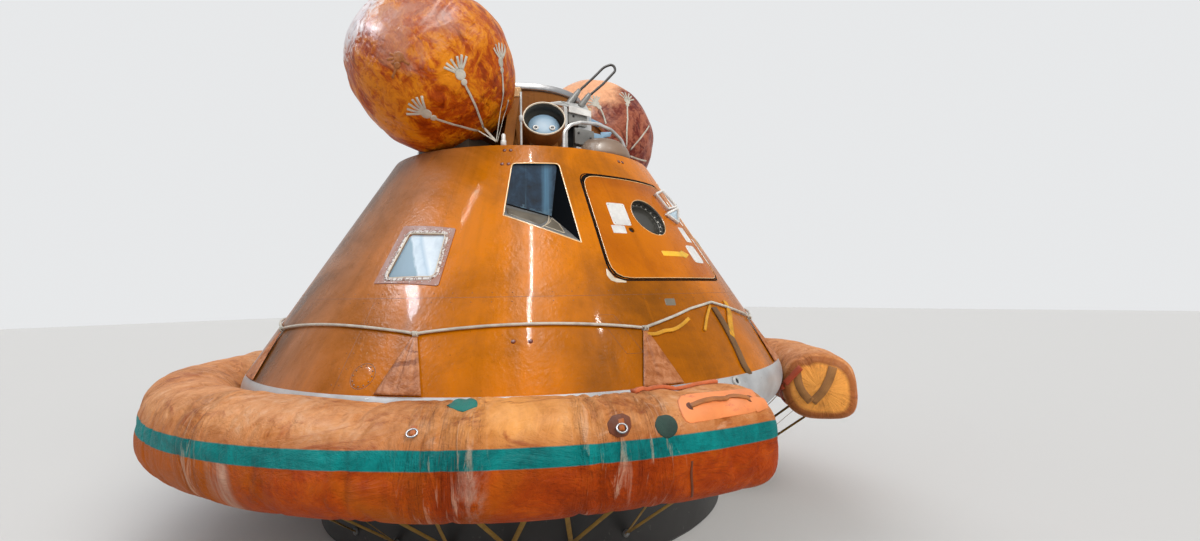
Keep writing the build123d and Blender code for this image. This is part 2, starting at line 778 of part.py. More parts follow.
for index, place in enumerate(bag_places):
    nodes[f"uprighting_bag_{index + 1}"] = uprighting_bag(place)
    nodes[f"bag_tray_{index + 1}"] = bag_tray(place)
for index in range(collar_bays):
    nodes[f"collar_bay_{index + 1}"] = collar_bay(index)

os.makedirs("parts", exist_ok=True)
for name, solid in nodes.items():
    export_step(Compound(solid) if isinstance(solid, list) else solid, f"parts/{name}.step")
print(len(nodes), "pieces")
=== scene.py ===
# Training capsule with its flotation collar: finishes, cloth, rigging and small fittings.
import bpy
import json
import math
import numpy as np
from mathutils import Matrix, Vector
from mathutils.bvhtree import BVHTree


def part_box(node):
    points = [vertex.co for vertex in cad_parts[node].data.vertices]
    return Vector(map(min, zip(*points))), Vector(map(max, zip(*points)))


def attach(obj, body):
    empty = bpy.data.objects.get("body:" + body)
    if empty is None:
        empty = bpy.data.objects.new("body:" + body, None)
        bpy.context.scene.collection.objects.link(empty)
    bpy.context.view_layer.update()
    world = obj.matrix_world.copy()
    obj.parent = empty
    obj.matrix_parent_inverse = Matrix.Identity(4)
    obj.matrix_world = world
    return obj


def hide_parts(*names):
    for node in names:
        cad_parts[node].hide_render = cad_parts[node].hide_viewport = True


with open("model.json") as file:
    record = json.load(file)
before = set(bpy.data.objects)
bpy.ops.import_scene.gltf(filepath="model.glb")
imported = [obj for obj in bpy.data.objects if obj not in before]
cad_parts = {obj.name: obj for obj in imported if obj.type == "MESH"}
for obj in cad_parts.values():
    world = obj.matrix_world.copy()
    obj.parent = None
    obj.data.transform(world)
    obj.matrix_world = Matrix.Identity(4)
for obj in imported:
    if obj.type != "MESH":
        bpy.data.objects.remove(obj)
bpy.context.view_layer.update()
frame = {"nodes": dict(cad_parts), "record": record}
print("stage: frame loaded")

# Outline of the capsule, read from the frame, in metres
coneSlope = math.tan(math.radians(33.0))
coneCos = math.cos(math.radians(33.0))
coneSin = math.sin(math.radians(33.0))
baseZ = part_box("aft_heat_shield")[1].z
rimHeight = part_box("rim_ring")[1].z - baseZ
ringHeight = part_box("rim_ring")[0].z - baseZ
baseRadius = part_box("rim_ring")[1].x + ringHeight * coneSlope
rimRadius = baseRadius - coneSlope * rimHeight
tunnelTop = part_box("docking_tunnel")[1].z - baseZ


# Camera

viewpoint = {
    "place": (-2.9395, -3.7274, 1.5465),
    "ahead": (0.71325, 0.70091),
    "pitch": 1.94,
    "roll": -0.9,
    "lens": 17.55,
    "sensor": 36.0,
    "picture": (1200, 541),
}


def cameraAxes():
    # right, up and ahead of the camera: ahead tilts up by the pitch, then right and up turn by the roll
    pitch = math.radians(viewpoint["pitch"])
    roll = math.radians(viewpoint["roll"])
    level = Vector((*viewpoint["ahead"], 0)).normalized()
    ahead = level * math.cos(pitch) + Vector((0, 0, math.sin(pitch)))
    side = Vector((level.y, -level.x, 0))
    top = side.cross(ahead)
    return side * math.cos(roll) + top * math.sin(roll), top * math.cos(roll) - side * math.sin(roll), ahead


def placeCamera():
    # the camera's columns are right, up and the opposite of ahead, at its place
    right, up, ahead = cameraAxes()
    lens = bpy.data.cameras.new("camera")
    lens.lens = viewpoint["lens"]
    lens.sensor_width = viewpoint["sensor"]
    lens.sensor_fit = "HORIZONTAL"
    eye = bpy.data.objects.new("camera", lens)
    bpy.context.scene.collection.objects.link(eye)
    columns = Matrix((right, up, -ahead)).transposed().to_4x4()
    eye.matrix_world = Matrix.Translation(viewpoint["place"]) @ columns
    bpy.context.scene.camera = eye


def sight(spot):
    # direction from the camera through a spot of the picture, in its own pixels
    right, up, ahead = cameraAxes()
    width, height = viewpoint["picture"]
    step = viewpoint["sensor"] / viewpoint["lens"] / width
    aside = right * ((spot[0] - width / 2) * step)
    return (ahead + aside + up * ((height / 2 - spot[1]) * step)).normalized()


placeCamera()
print("stage: camera placed")


# Arrays and meshes

skyward = np.array([0, 0, 1.0])


def unit(vectors):
    # vectors over their lengths
    return vectors / np.maximum(np.linalg.norm(vectors, axis=-1, keepdims=True), 1e-9)


def onCone(azimuth, height, lift=0.0):
    # azimuth in degrees from -Y towards +X and height over the cone's lower edge, raised along the normal
    azimuth, height, lift = np.broadcast_arrays(np.asarray(azimuth, float), height, lift)
    turn = np.radians(azimuth)
    radius = baseRadius - coneSlope * height + lift * coneCos
    z = baseZ + height + lift * coneSin
    return np.stack([radius * np.sin(turn), -radius * np.cos(turn), z], axis=-1)


def coneNormal(azimuth):
    # straight out of the cone: the cosine of its half angle outwards, the sine up
    turn = np.radians(np.asarray(azimuth, float))
    return np.stack([coneCos * np.sin(turn), -coneCos * np.cos(turn), np.full_like(turn, coneSin)], axis=-1)


def around(azimuth, radius, height):
    # azimuth, distance from the axis and height over the cone's lower edge
    azimuth, radius, height = np.broadcast_arrays(np.asarray(azimuth, float), radius, height)
    turn = np.radians(azimuth)
    return np.stack([radius * np.sin(turn), -radius * np.cos(turn), baseZ + height], axis=-1)


def compass(azimuth):
    # level directions at an azimuth: (cosine, sine, 0) to the right and (sine, minus cosine, 0) outwards
    turn = math.radians(azimuth)
    return np.array([math.cos(turn), math.sin(turn), 0]), np.array([math.sin(turn), -math.cos(turn), 0])


def waves(points, size, count, seed):
    # sum of plane waves in random directions, about size from crest to crest, from -1 to 1
    dice = np.random.default_rng(seed)
    ways = unit(dice.normal(size=(count, points.shape[-1])))
    length = size * dice.uniform(0.7, 1.5, count)
    phase = dice.uniform(0, 2 * np.pi, count)
    return np.sin(points @ ways.T * (2 * np.pi / length) + phase).sum(-1) / math.sqrt(count) / 1.5


def smoothPath(points, steps=10):
    # Catmull-Rom curve through the points, with steps to each span
    points = np.asarray(points, float)
    more = np.vstack([2 * points[0] - points[1], points, 2 * points[-1] - points[-2]])
    t = np.linspace(0, 1, steps, endpoint=False)[:, None, None]
    a, b, c, d = more[:-3], more[1:-2], more[2:-1], more[3:]
    curve = 0.5 * (2 * b + (c - a) * t + (2 * a - 5 * b + 4 * c - d) * t ** 2
                   + (3 * b - a - 3 * c + d) * t ** 3)
    return np.vstack([curve.transpose(1, 0, 2).reshape(-1, points.shape[1]), points[-1:]])


def circle(radius, sides=12):
    # radius times cosine and sine of even turns
    turn = np.linspace(0, 2 * np.pi, sides, endpoint=False)
    return np.stack([radius * np.cos(turn), radius * np.sin(turn)], axis=-1)


def roundedLoop(corners, radii, steps=5):
    # closed outline whose corners become curves that leave their sides at a radius's reach
    corners = np.asarray(corners, float)
    before = unit(np.roll(corners, 1, axis=0) - corners)
    after = unit(np.roll(corners, -1, axis=0) - corners)
    half = np.arccos(np.clip((before * after).sum(-1), -1, 1)) / 2
    reach = (np.broadcast_to(radii, half.shape) / np.tan(half))[:, None, None]
    t = np.linspace(0, 1, steps)[None, :, None]
    start = corners[:, None] + before[:, None] * reach
    end = corners[:, None] + after[:, None] * reach
    curve = (1 - t) ** 2 * start + 2 * t * (1 - t) * corners[:, None] + t ** 2 * end
    return curve.reshape(-1, corners.shape[1])


def divided(loop, parts):
    # closed outline with each side cut in equal parts
    t = np.linspace(0, 1, parts, endpoint=False)[None, :, None]
    cut = loop[:, None] * (1 - t) + np.roll(loop, -1, axis=0)[:, None] * t
    return cut.reshape(-1, loop.shape[1])


def evened(loop, count):
    # closed outline at even steps of its length
    closed = np.vstack([loop, loop[:1]])
    reach = np.concatenate([[0], np.cumsum(np.linalg.norm(np.diff(closed, axis=0), axis=1))])
    steps = np.linspace(0, reach[-1], count, endpoint=False)
    return np.stack([np.interp(steps, reach, closed[:, axis]) for axis in range(loop.shape[1])], axis=-1)


def conePlace(points):
    # azimuths and heights of points
    return np.degrees(np.arctan2(points[..., 0], -points[..., 1])), points[..., 2] - baseZ


def loopOnCone(corners, radii, count=96):
    # rounded outline on the cone through corners (azimuth, height)
    corners = np.asarray(corners, float)
    return conePlace(evened(roundedLoop(onCone(*corners.T), radii), count))


def coneSection(loop, profile, closed=True):
    # profile (out, lift) carried along an outline on the cone, out pointing away from its middle
    azimuth, height = loop
    middle = onCone(azimuth, height)
    if closed:
        along = unit(np.roll(middle, -1, axis=0) - np.roll(middle, 1, axis=0))
    else:
        along = unit(np.gradient(middle, axis=0))
    normal = coneNormal(azimuth)
    out = unit(np.cross(along, normal))
    if ((middle - middle.mean(0)) * out).sum() < 0:
        out = -out
    profile = np.asarray(profile, float)
    return middle + profile[:, :1, None] * out + profile[:, 1:, None] * normal


def rectangle(width, depth, corner=0.25):
    # flat bar section with clipped corners
    a, b = width / 2, depth / 2
    c = min(a, b) * corner
    return np.array([(a - c, -b), (a, -b + c), (a, b - c), (a - c, b),
                     (-a + c, b), (-a, b - c), (-a, -b + c), (-a + c, -b)])


def newPiece(name, points, faces, look, body="capsule", uv=None, smooth=True):
    # one object at the origin from arrays; uv has a pair for each corner of each face in turn
    mesh = bpy.data.meshes.new(name)
    mesh.from_pydata(np.asarray(points, float).reshape(-1, 3), [], faces)
    mesh.polygons.foreach_set("use_smooth", np.full(len(mesh.polygons), smooth))
    if uv is not None:
        mesh.uv_layers.new(name="UVMap").data.foreach_set("uv", np.asarray(uv, np.float32).ravel())
    mesh.materials.append(look)
    mesh.update()
    piece = bpy.data.objects.new(name, mesh)
    bpy.context.scene.collection.objects.link(piece)
    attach(piece, body)
    return piece


def gridShape(points, closeRows=False, closeColumns=False, caps=False):
    # quads between neighbours of grids (..., rows, columns, 3), with fans to a middle point over open ends
    grids = points.reshape(-1, *points.shape[-3:])
    many, rows, columns = grids.shape[:3]
    i = np.arange(rows if closeRows else rows - 1)[:, None]
    j = np.arange(columns if closeColumns else columns - 1)[None]
    corners = [(i, j), (i + 1, j), (i + 1, j + 1), (i, j + 1)]
    quads = np.stack([(a % rows) * columns + b % columns for a, b in corners], axis=-1).reshape(-1, 4)
    spots = np.stack([np.stack(np.broadcast_arrays(a, b), axis=-1) for a, b in corners],
                     axis=-2).reshape(-1, 4, 2)
    size = rows * columns + (2 if caps else 0)
    flat = grids.reshape(many, -1, 3)
    fans = np.zeros((0, 3), int)
    if caps:
        ends = np.stack([grids[:, 0].mean(1), grids[:, -1].mean(1)], axis=1)
        flat = np.concatenate([flat, ends], axis=1)
        ring = np.arange(columns)
        after = (ring + 1) % columns
        low = np.stack([np.full(columns, size - 2), ring, after], axis=-1)
        last = (rows - 1) * columns
        high = np.stack([np.full(columns, size - 1), after + last, ring + last], axis=-1)
        fans = np.vstack([low, high])
    if closeColumns and (caps or closeRows):
        one = flat[0]
        tris = np.vstack([quads[:, :3], quads[:, [0, 2, 3]], fans])
        volume = np.einsum("ij,ij->i", one[tris[:, 0]], np.cross(one[tris[:, 1]], one[tris[:, 2]])).sum()
        if volume < 0:
            quads, spots, fans = quads[:, ::-1], spots[:, ::-1], fans[:, ::-1]
    shift = (np.arange(many) * size)[:, None, None]
    faces = (quads + shift).reshape(-1, 4).tolist() + (fans + shift).reshape(-1, 3).tolist()
    return flat.reshape(-1, 3), faces, np.tile(spots, (many, 1, 1)), many * len(fans)


def addGrid(name, points, look, body="capsule", form="solid", us=None, vs=None, smooth=True):
    # a grid made a piece: a solid is closed round and capped, a hoop closed both ways, a tube closed round,
    # a sheet open; us and vs give the map's coordinates along its rows and columns
    flat, faces, spots, fans = gridShape(np.asarray(points, float), form == "hoop", form != "sheet",
                                         form == "solid")
    rows, columns = points.shape[-3:-1]
    us = np.linspace(0, 1, rows + 1) if us is None else np.asarray(us, float)
    vs = np.linspace(0, 1, columns + 1) if vs is None else np.asarray(vs, float)
    uv = np.stack([us[spots[..., 0]], vs[spots[..., 1]]], axis=-1).reshape(-1, 2)
    uv = np.vstack([uv, np.zeros((fans * 3, 2))])
    return newPiece(name, flat, faces, look, body, uv, smooth)


def carried(path, section, side, scale=1.0):
    # section (across, out) at each point of a path, across square to the path and near to side
    path = np.asarray(path, float)
    along = unit(np.gradient(path, axis=-2))
    side = np.broadcast_to(np.asarray(side, float), path.shape)
    out = unit(np.cross(side, along))[..., None, :]
    across = np.cross(along[..., None, :], out)
    scale = np.broadcast_to(np.asarray(scale, float), path.shape[-2])[:, None, None]
    section = np.asarray(section, float)
    return path[..., None, :] + scale * (section[:, :1] * across + section[:, 1:] * out)


def addBar(name, path, section, side, look, scale=1.0):
    # solid bar along a path, its map in metres along and across
    path = np.asarray(path, float)
    grid = carried(path, section, side, scale)
    reach = np.concatenate([[0], np.cumsum(np.linalg.norm(np.diff(path, axis=0), axis=1))])
    us = np.append(reach, reach[-1] + 0.01)
    vs = np.linspace(0, np.abs(np.asarray(section)).max() * 4, len(section) + 1)
    return addGrid(name, grid, look, us=us, vs=vs)


def addHoop(name, loop, section, side, look, body="capsule", **values):
    # section carried round a closed path
    grid = carried(np.vstack([loop[-1:], loop, loop[:1]]), section, side)[1:-1]
    return addGrid(name, grid, look, body, "hoop", **values)


def thicken(piece, depth):
    # a wall laid half on each side of an open surface
    wall = piece.modifiers.new("thickness", "SOLIDIFY")
    wall.thickness = depth
    wall.offset = 0
    return piece


def addStrap(name, path, normals, width, depth, look):
    # flat strap along a path, lying square to the normals that it is given
    path = np.asarray(path, float)
    along = unit(np.gradient(path, axis=0))
    side = np.cross(along, np.broadcast_to(normals, path.shape))
    return addBar(name, path, rectangle(width, depth), side, look)


def addConeBand(name, loop, profile, look, body="capsule"):
    # closed profile carried round a closed outline on the cone
    return addGrid(name, coneSection(loop, profile), look, body, "hoop")


def addConePlate(name, corners, radii, depth, look, body="capsule", count=64):
    # plate that follows the cone: a bevelled edge, then rings that shrink to its middle
    loop = loopOnCone(corners, radii, count)
    azimuth, height = loop
    edge = coneSection(loop, [(0, -0.002), (0, depth * 0.6), (-depth * 0.5, depth)])
    share = np.array([0.9, 0.6, 0.3, 0.03])[:, None]
    inner = onCone(azimuth.mean() * (1 - share) + azimuth * share,
                   height.mean() * (1 - share) + height * share, depth)
    return addGrid(name, np.concatenate([edge, inner]), look, body)


def turned(places, normals, profile, sides=12):
    # profile (radius, height) turned round the normal at each place: grids (places, rows, sides, 3)
    places = np.asarray(places, float).reshape(-1, 3)
    normals = unit(np.broadcast_to(np.asarray(normals, float), places.shape))
    other = np.where(np.abs(normals[:, 2:]) > 0.9, [[1.0, 0, 0]], [[0, 0, 1.0]])
    across = unit(np.cross(other, normals))
    up = np.cross(normals, across)
    turn = np.linspace(0, 2 * np.pi, sides, endpoint=False)[None, :, None]
    ring = np.cos(turn) * across[:, None] + np.sin(turn) * up[:, None]
    profile = np.asarray(profile, float)
    grid = places[:, None, None] + profile[None, :, None, :1] * ring[:, None]
    return grid + profile[None, :, None, 1:] * normals[:, None, None]


def addTurned(name, places, normals, profile, look, sides=12, body="capsule"):
    # one solid of revolution at each place, all in one piece
    return addGrid(name, turned(places, normals, profile, sides), look, body)


dome = np.array([(1.0, 0.0), (1.0, 0.18), (0.72, 0.42), (0.25, 0.5)])  # a screw's head of radius 1


def addDomes(name, places, normals, size, look, sides=8, body="capsule"):
    # heads of screws and rivets: the dome's profile times a size, or times a size across and one up
    return addTurned(name, places, normals, dome * size, look, sides, body)


def surfaceTree(*pieces):
    # search tree over the triangles of some pieces, for laying things on them
    points, faces = [], []
    for piece in pieces:
        mesh = piece.data
        first = len(points)
        points.extend(vertex.co.copy() for vertex in mesh.vertices)
        faces.extend([corner + first for corner in polygon.vertices] for polygon in mesh.polygons)
    return BVHTree.FromPolygons(points, faces)


def seenOn(tree, spots):
    # points and normals where the camera's sight through spots of the picture meets a surface
    eye = Vector(viewpoint["place"])
    found = [tree.ray_cast(eye, sight(spot)) for spot in spots]
    reach = max(hit[3] or 0 for hit in found)
    found = [hit if hit[0] else tree.find_nearest(eye + sight(spot) * reach)
             for hit, spot in zip(found, spots)]
    return np.array([hit[0] for hit in found]), np.array([hit[1] for hit in found])


def laidOn(tree, points, lift, reach=10.0):
    # points moved to the nearest spot of a surface and raised over it, unless they are out of its reach
    points = np.asarray(points, float)
    found = [tree.find_nearest(Vector(point)) for point in points.reshape(-1, 3)]
    place = np.array([hit[0] for hit in found]).reshape(points.shape)
    normal = np.array([hit[1] for hit in found]).reshape(points.shape)
    away = np.array([hit[3] for hit in found]).reshape(points.shape[:-1])[..., None]
    return np.where(away < reach, place + normal * lift, points), normal


def placesOn(tree, spots):
    # a spot is a pair, seen in the picture, or a place in space whose nearest point is taken
    if len(spots[0]) == 2:
        return seenOn(tree, spots)
    return laidOn(tree, spots, 0.0)


def clearOf(tree, points, lift):
    # points under a surface, or too near to it, are moved out along its normal; the rest stay
    found = [tree.find_nearest(Vector(point)) for point in points]
    place = np.array([hit[0] for hit in found])
    normal = np.array([hit[1] for hit in found])
    over = ((points - place) * normal).sum(-1, keepdims=True)
    return np.where(over < lift, place + normal * lift, points), normal


def layStrap(name, tree, spots, width, depth, look, tail=()):
    # strap through spots of a surface, then straight on through free places
    path = smoothPath(placesOn(tree, spots)[0], 6)
    if len(tail):
        stops = np.vstack([path[-1:], tail])
        legs = [np.linspace(first, last, 10)[1:] for first, last in zip(stops[:-1], stops[1:])]
        path = np.vstack([path, *legs])
    path, normal = clearOf(tree, path, depth * 0.7)
    return addStrap(name, path, normal, width, depth, look)


def layDisc(name, tree, spot, radius, depth, look):
    # round patch: rings about a spot, laid on the surface
    place, normal = placesOn(tree, [spot])
    shares = np.array([1.0, 1.0, 0.93, 0.6, 0.3, 0.03])
    rings = turned(place, normal, np.stack([shares * radius, np.zeros(6)], axis=-1), 24)[0]
    laid, facing = laidOn(tree, rings, 0.0)
    lift = np.array([-0.002, depth * 0.5, depth, depth, depth, depth])[:, None, None]
    return addGrid(name, laid + facing * lift, look)


def layPatch(name, tree, corners, look, depth, swell=0.0):
    # four-cornered patch laid on a surface, its rings shrinking from its outline, swollen in its middle
    corners = np.asarray(corners, float)
    share = 0.12 if len(corners) < 5 else 0.4
    loop = divided(roundedLoop(corners, np.linalg.norm(corners[0] - corners[1]) * share, 4), 4)
    shares = np.array([1.0, 1.0, 0.96, 0.8, 0.6, 0.4, 0.2, 0.03])[:, None, None]
    rings = loop.mean(0) * (1 - shares) + loop * shares
    laid, facing = placesOn(tree, rings.reshape(-1, corners.shape[1]))
    laid, facing = laid.reshape(len(shares), -1, 3), facing.reshape(len(shares), -1, 3)
    lift = np.where(np.arange(len(shares)) == 0, -0.002, depth + swell * (1 - shares[:, 0, 0] ** 3))
    lift = lift[:, None, None]
    return addGrid(name, laid + facing * lift, look)


print("stage: helpers ready")


# Materials

class Value:
    # a node's output, which sums, products and differences turn into Math nodes
    def __init__(self, socket):
        self.socket = socket
        self.tree = socket.id_data

    def __add__(self, other):
        return reckon("ADD", self, other)

    def __sub__(self, other):
        return reckon("SUBTRACT", self, other)

    def __mul__(self, other):
        return reckon("MULTIPLY", self, other)

    def __truediv__(self, other):
        return reckon("DIVIDE", self, other)


def put(tree, kind, inputs=None, **settings):
    # a node with its settings, and its inputs set or linked; its outputs come back as values
    made = tree.nodes.new("ShaderNode" + kind)
    for key, value in settings.items():
        setattr(made, key, value)
    for key, value in (inputs or {}).items():
        if isinstance(value, Value):
            tree.links.new(value.socket, made.inputs[key])
        else:
            made.inputs[key].default_value = value
    return made


def node(kind, inputs, output=0, **settings):
    # an output of a node whose inputs hold at least one value
    tree = next(value.tree for value in inputs.values() if isinstance(value, Value))
    return Value(put(tree, kind, inputs, **settings).outputs[output])


def newLook(name, **values):
    # principled material with its fixed values on the shader's own sockets
    look = bpy.data.materials.new(name)
    look.use_nodes = True
    shader = look.node_tree.nodes["Principled BSDF"]
    for key, value in values.items():
        socket = shader.inputs[key.replace("_", " ")]
        socket.default_value = (*value, 1) if isinstance(value, tuple) else value
    return look


def finished(look, **values):
    # the material with values linked to its shader's sockets
    for key, value in values.items():
        value.tree.links.new(value.socket,
                             value.tree.nodes["Principled BSDF"].inputs[key.replace("_", " ")])
    return look


def noise(where, scale, detail=4.0, roughness=0.55, distortion=0.0):
    # cloudy value from 0 to 1 at a place times a scale
    return node("TexNoise", {"Vector": where, "Scale": scale, "Detail": detail, "Roughness": roughness,
                             "Distortion": distortion})


def ramp(factor, stops):
    # colour ramp from pairs of place and colour
    made = put(factor.tree, "ValToRGB", {0: factor})
    marks = made.color_ramp.elements
    marks.remove(marks[1])
    marks[0].position = stops[0][0]
    marks[0].color = (*stops[0][1], 1)
    for place, colour in stops[1:]:
        marks.new(place).color = (*colour, 1)
    return Value(made.outputs[0])


def levels(value, low, high, first=0.0, last=1.0):
    # value mapped from low..high to first..last and held there
    return node("MapRange", {0: value, 1: low, 2: high, 3: first, 4: last})


def window(value, middle, half, soft):
    # 1 near a middle value, 0 beyond a half width, with soft sides
    return levels(reckon("ABSOLUTE", value - middle), half, half + soft, 1, 0)


def blend(factor, first, second):
    # first colour mixed into the second by the factor
    first, second = [(*colour, 1) if isinstance(colour, tuple) else colour for colour in (first, second)]
    return node("Mix", {0: factor, 6: first, 7: second}, 2, data_type="RGBA")


def reckon(way, first, second=0.0):
    # one Math node on a value and a number or another value
    return node("Math", {0: first, 1: second}, operation=way)


def bump(height, strength, distance, normal=None):
    # normal leaned by the slope of a height, over another normal
    inputs = {"Strength": strength, "Distance": distance, "Height": height}
    if normal is not None:
        inputs["Normal"] = normal
    return node("Bump", inputs)


def here(look):
    # places in the piece's own space
    return Value(put(look.node_tree, "TexCoord").outputs["Object"])


def mapped(look):
    # places on the piece's own map
    return Value(put(look.node_tree, "UVMap", uv_map="UVMap").outputs[0])


def scaled(vector, scale=(1, 1, 1), place=(0, 0, 0)):
    # vector times scale, moved by place
    return node("Mapping", {"Vector": vector, "Scale": scale, "Location": place})


def parted(vector):
    # x, y and z of a vector
    return [Value(socket) for socket in put(vector.tree, "SeparateXYZ", {0: vector}).outputs]


def gathered(parts):
    # vector of x, y and z
    return node("CombineXYZ", dict(enumerate(parts)))


def downSlope(look, across, down):
    # coordinates that run round the axis and down the cone: (x / r, y / r) times across, z times down
    x, y, z = parted(here(look))
    radius = reckon("SQRT", x * x + y * y)
    return gathered([x / radius * across, y / radius * across, z * down])


def dotWith(vector, way):
    # dot product with a fixed direction
    return node("VectorMath", {0: vector, 1: tuple(way)}, "Value", operation="DOT_PRODUCT")


def lined(vector, way, long, wide):
    # coordinates stretched along a direction: dot products with it and with two square to it
    way = Vector(way).normalized()
    other = way.orthogonal().normalized()
    return gathered([dotWith(vector, line) for line in (way * long, other * wide, way.cross(other) * wide)])


def darker(colour, share):
    # colour times a share, held at 1
    return tuple(min(1, part * share) for part in colour)


def varnishLook(name, dark, middle, light, seed=0.0, rise=0.0, side=0.0):
    # amber varnish on metal: patches that brown with height, painted shade to the camera's left and at the
    # lower right, a painted light band, a painted glare on the left, faint runs, scratches, specks
    look = newLook(name, Coat_Weight=0.08, Coat_Roughness=0.06, Coat_IOR=1.35, Specular_IOR_Level=0.05)
    place = scaled(here(look), place=(seed, seed, seed))
    patches = noise(place, 1.3, 6, 0.62, 0.5)
    z = parted(here(look))[2]
    tone = (levels(patches, 0.2, 0.8, 0.37, 0.7)
            - levels(z, baseZ + 0.25, baseZ + rimHeight, -0.4 * rise, rise))
    # across runs towards the camera's right; side sets painted shade on the left and at the lower right,
    # and a painted light band
    across = dotWith(here(look), (0.7, -0.713, 0)) + levels(z, baseZ + 0.3, baseZ + 1.4, 0.15, -0.3)
    tone = tone - levels(across, -1.05, -0.2, side, 0) + window(across, 0.25, 0.15, 0.5) * (side * 0.2)
    tone = tone - levels(z, baseZ + 0.3, baseZ + 0.8, side * 0.7, 0) * levels(across, -0.7, 0.1)
    colour = ramp(tone, [(0.34, dark), (0.48, middle), (0.58, light)])
    # painted glare: a pale grey-brown reflection laid over the left side
    paintedGlare = levels(across, -0.35, -0.9, 0, side * 3) * levels(patches, 0.4, 0.58)
    colour = blend(paintedGlare, colour, (0.4, 0.22, 0.14))
    # runs, fine lines, clouds, scuffs and specks: pattern, where it starts and is full, strength, colour
    for pattern, low, high, most, tint in (
            (noise(downSlope(look, 13, 0.7), 1.0, 5, 0.6, 0.3), 0.52, 0.75, 0.28, darker(dark, 0.8)),
            (noise(downSlope(look, 60, 2.4), 1.0, 3, 0.6), 0.6, 0.8, 0.22, light),
            (noise(scaled(place, place=(9, 2, 4)), 5.5, 5, 0.7, 0.4), 0.56, 0.74, 0.22, dark),
            (noise(scaled(place, place=(3, 8, 1)), 34, 4, 0.75), 0.7, 0.74, 0.4, (0.55, 0.34, 0.16)),
            (noise(place, 95, 2, 0.5), 0.71, 0.78, 0.6, (0.03, 0.012, 0.004))):
        colour = blend(levels(pattern, low, high, 0, most), colour, tint)
    rough = levels(noise(place, 6, 5, 0.7), 0.3, 0.75, 0.2, 0.42)
    scratch = noise(scaled(here(look), (220, 220, 9)), 1.0, 2, 0.5)
    peel = noise(scaled(place, place=(1, 5, 2)), 38, 3, 0.6)
    normal = bump(peel, 0.32, 0.008, bump(scratch, 0.1, 0.002, bump(patches, 0.2, 0.02)))
    return finished(look, Base_Color=colour, Roughness=rough, Normal=normal)


def paintLook(name, colour, worn, rough=0.5, wear=0.66, scale=14.0, metallic=0.0, coat=0.0, shine=0.5):
    # paint with cloudy tone, fine grain and chips down to what is underneath
    look = newLook(name, Metallic=metallic, Coat_Weight=coat, Coat_Roughness=0.2, Specular_IOR_Level=shine)
    place = here(look)
    cloud = noise(place, scale * 0.3, 5, 0.6)
    shade = ramp(cloud, [(0.3, darker(colour, 0.72)), (0.55, colour), (0.75, darker(colour, 1.15))])
    mask = levels(noise(place, scale * 2.2, 6, 0.7, 0.6), wear, wear + 0.05)
    roughness = levels(cloud, 0.3, 0.7, rough * 0.8, min(1, rough * 1.25))
    normal = bump(noise(place, 160, 3, 0.6), 0.15, 0.001, bump(mask, 0.3, 0.001))
    return finished(look, Base_Color=blend(mask, shade, worn), Roughness=roughness, Normal=normal)


def metalLook(name, colour, rough=0.35, brush=(3, 3, 180)):
    # satin metal with brushed lines and cloudy stains
    look = newLook(name, Metallic=0.9)
    lines = noise(scaled(here(look), brush), 1.0, 3, 0.6)
    stains = noise(here(look), 9, 5, 0.65)
    shade = ramp(stains, [(0.3, darker(colour, 0.6)), (0.6, colour)])
    roughness = levels(lines, 0.3, 0.7, -0.08, 0.1) + levels(stains, 0.3, 0.7, rough + 0.12, rough)
    return finished(look, Base_Color=shade, Roughness=roughness, Normal=bump(lines, 0.15, 0.0006))


def weave(where, pitch):
    # crossed threads: the product of a wave along and a wave across
    along, across = [node("TexWave", {"Vector": where, "Scale": 0.314 / pitch}, 1, bands_direction=way)
                     for way in "XY"]
    return along * across


def webbingLook(name, colour, rough=0.75):
    # woven strap: ribs across it with painted shade between the threads, and faded patches
    look = newLook(name, Sheen_Weight=0.04, Specular_IOR_Level=0.25, Roughness=rough)
    threads = weave(mapped(look), 0.003)
    shade = ramp(noise(here(look), 12, 4, 0.6), [(0.3, darker(colour, 0.6)), (0.6, colour)])
    # painted shade in the gaps between threads, where the bump below is low
    shade = blend(levels(threads, 0.0, 1.0, 0.35, 0), shade, darker(colour, 0.5))
    return finished(look, Base_Color=shade, Normal=bump(threads, 0.4, 0.001))


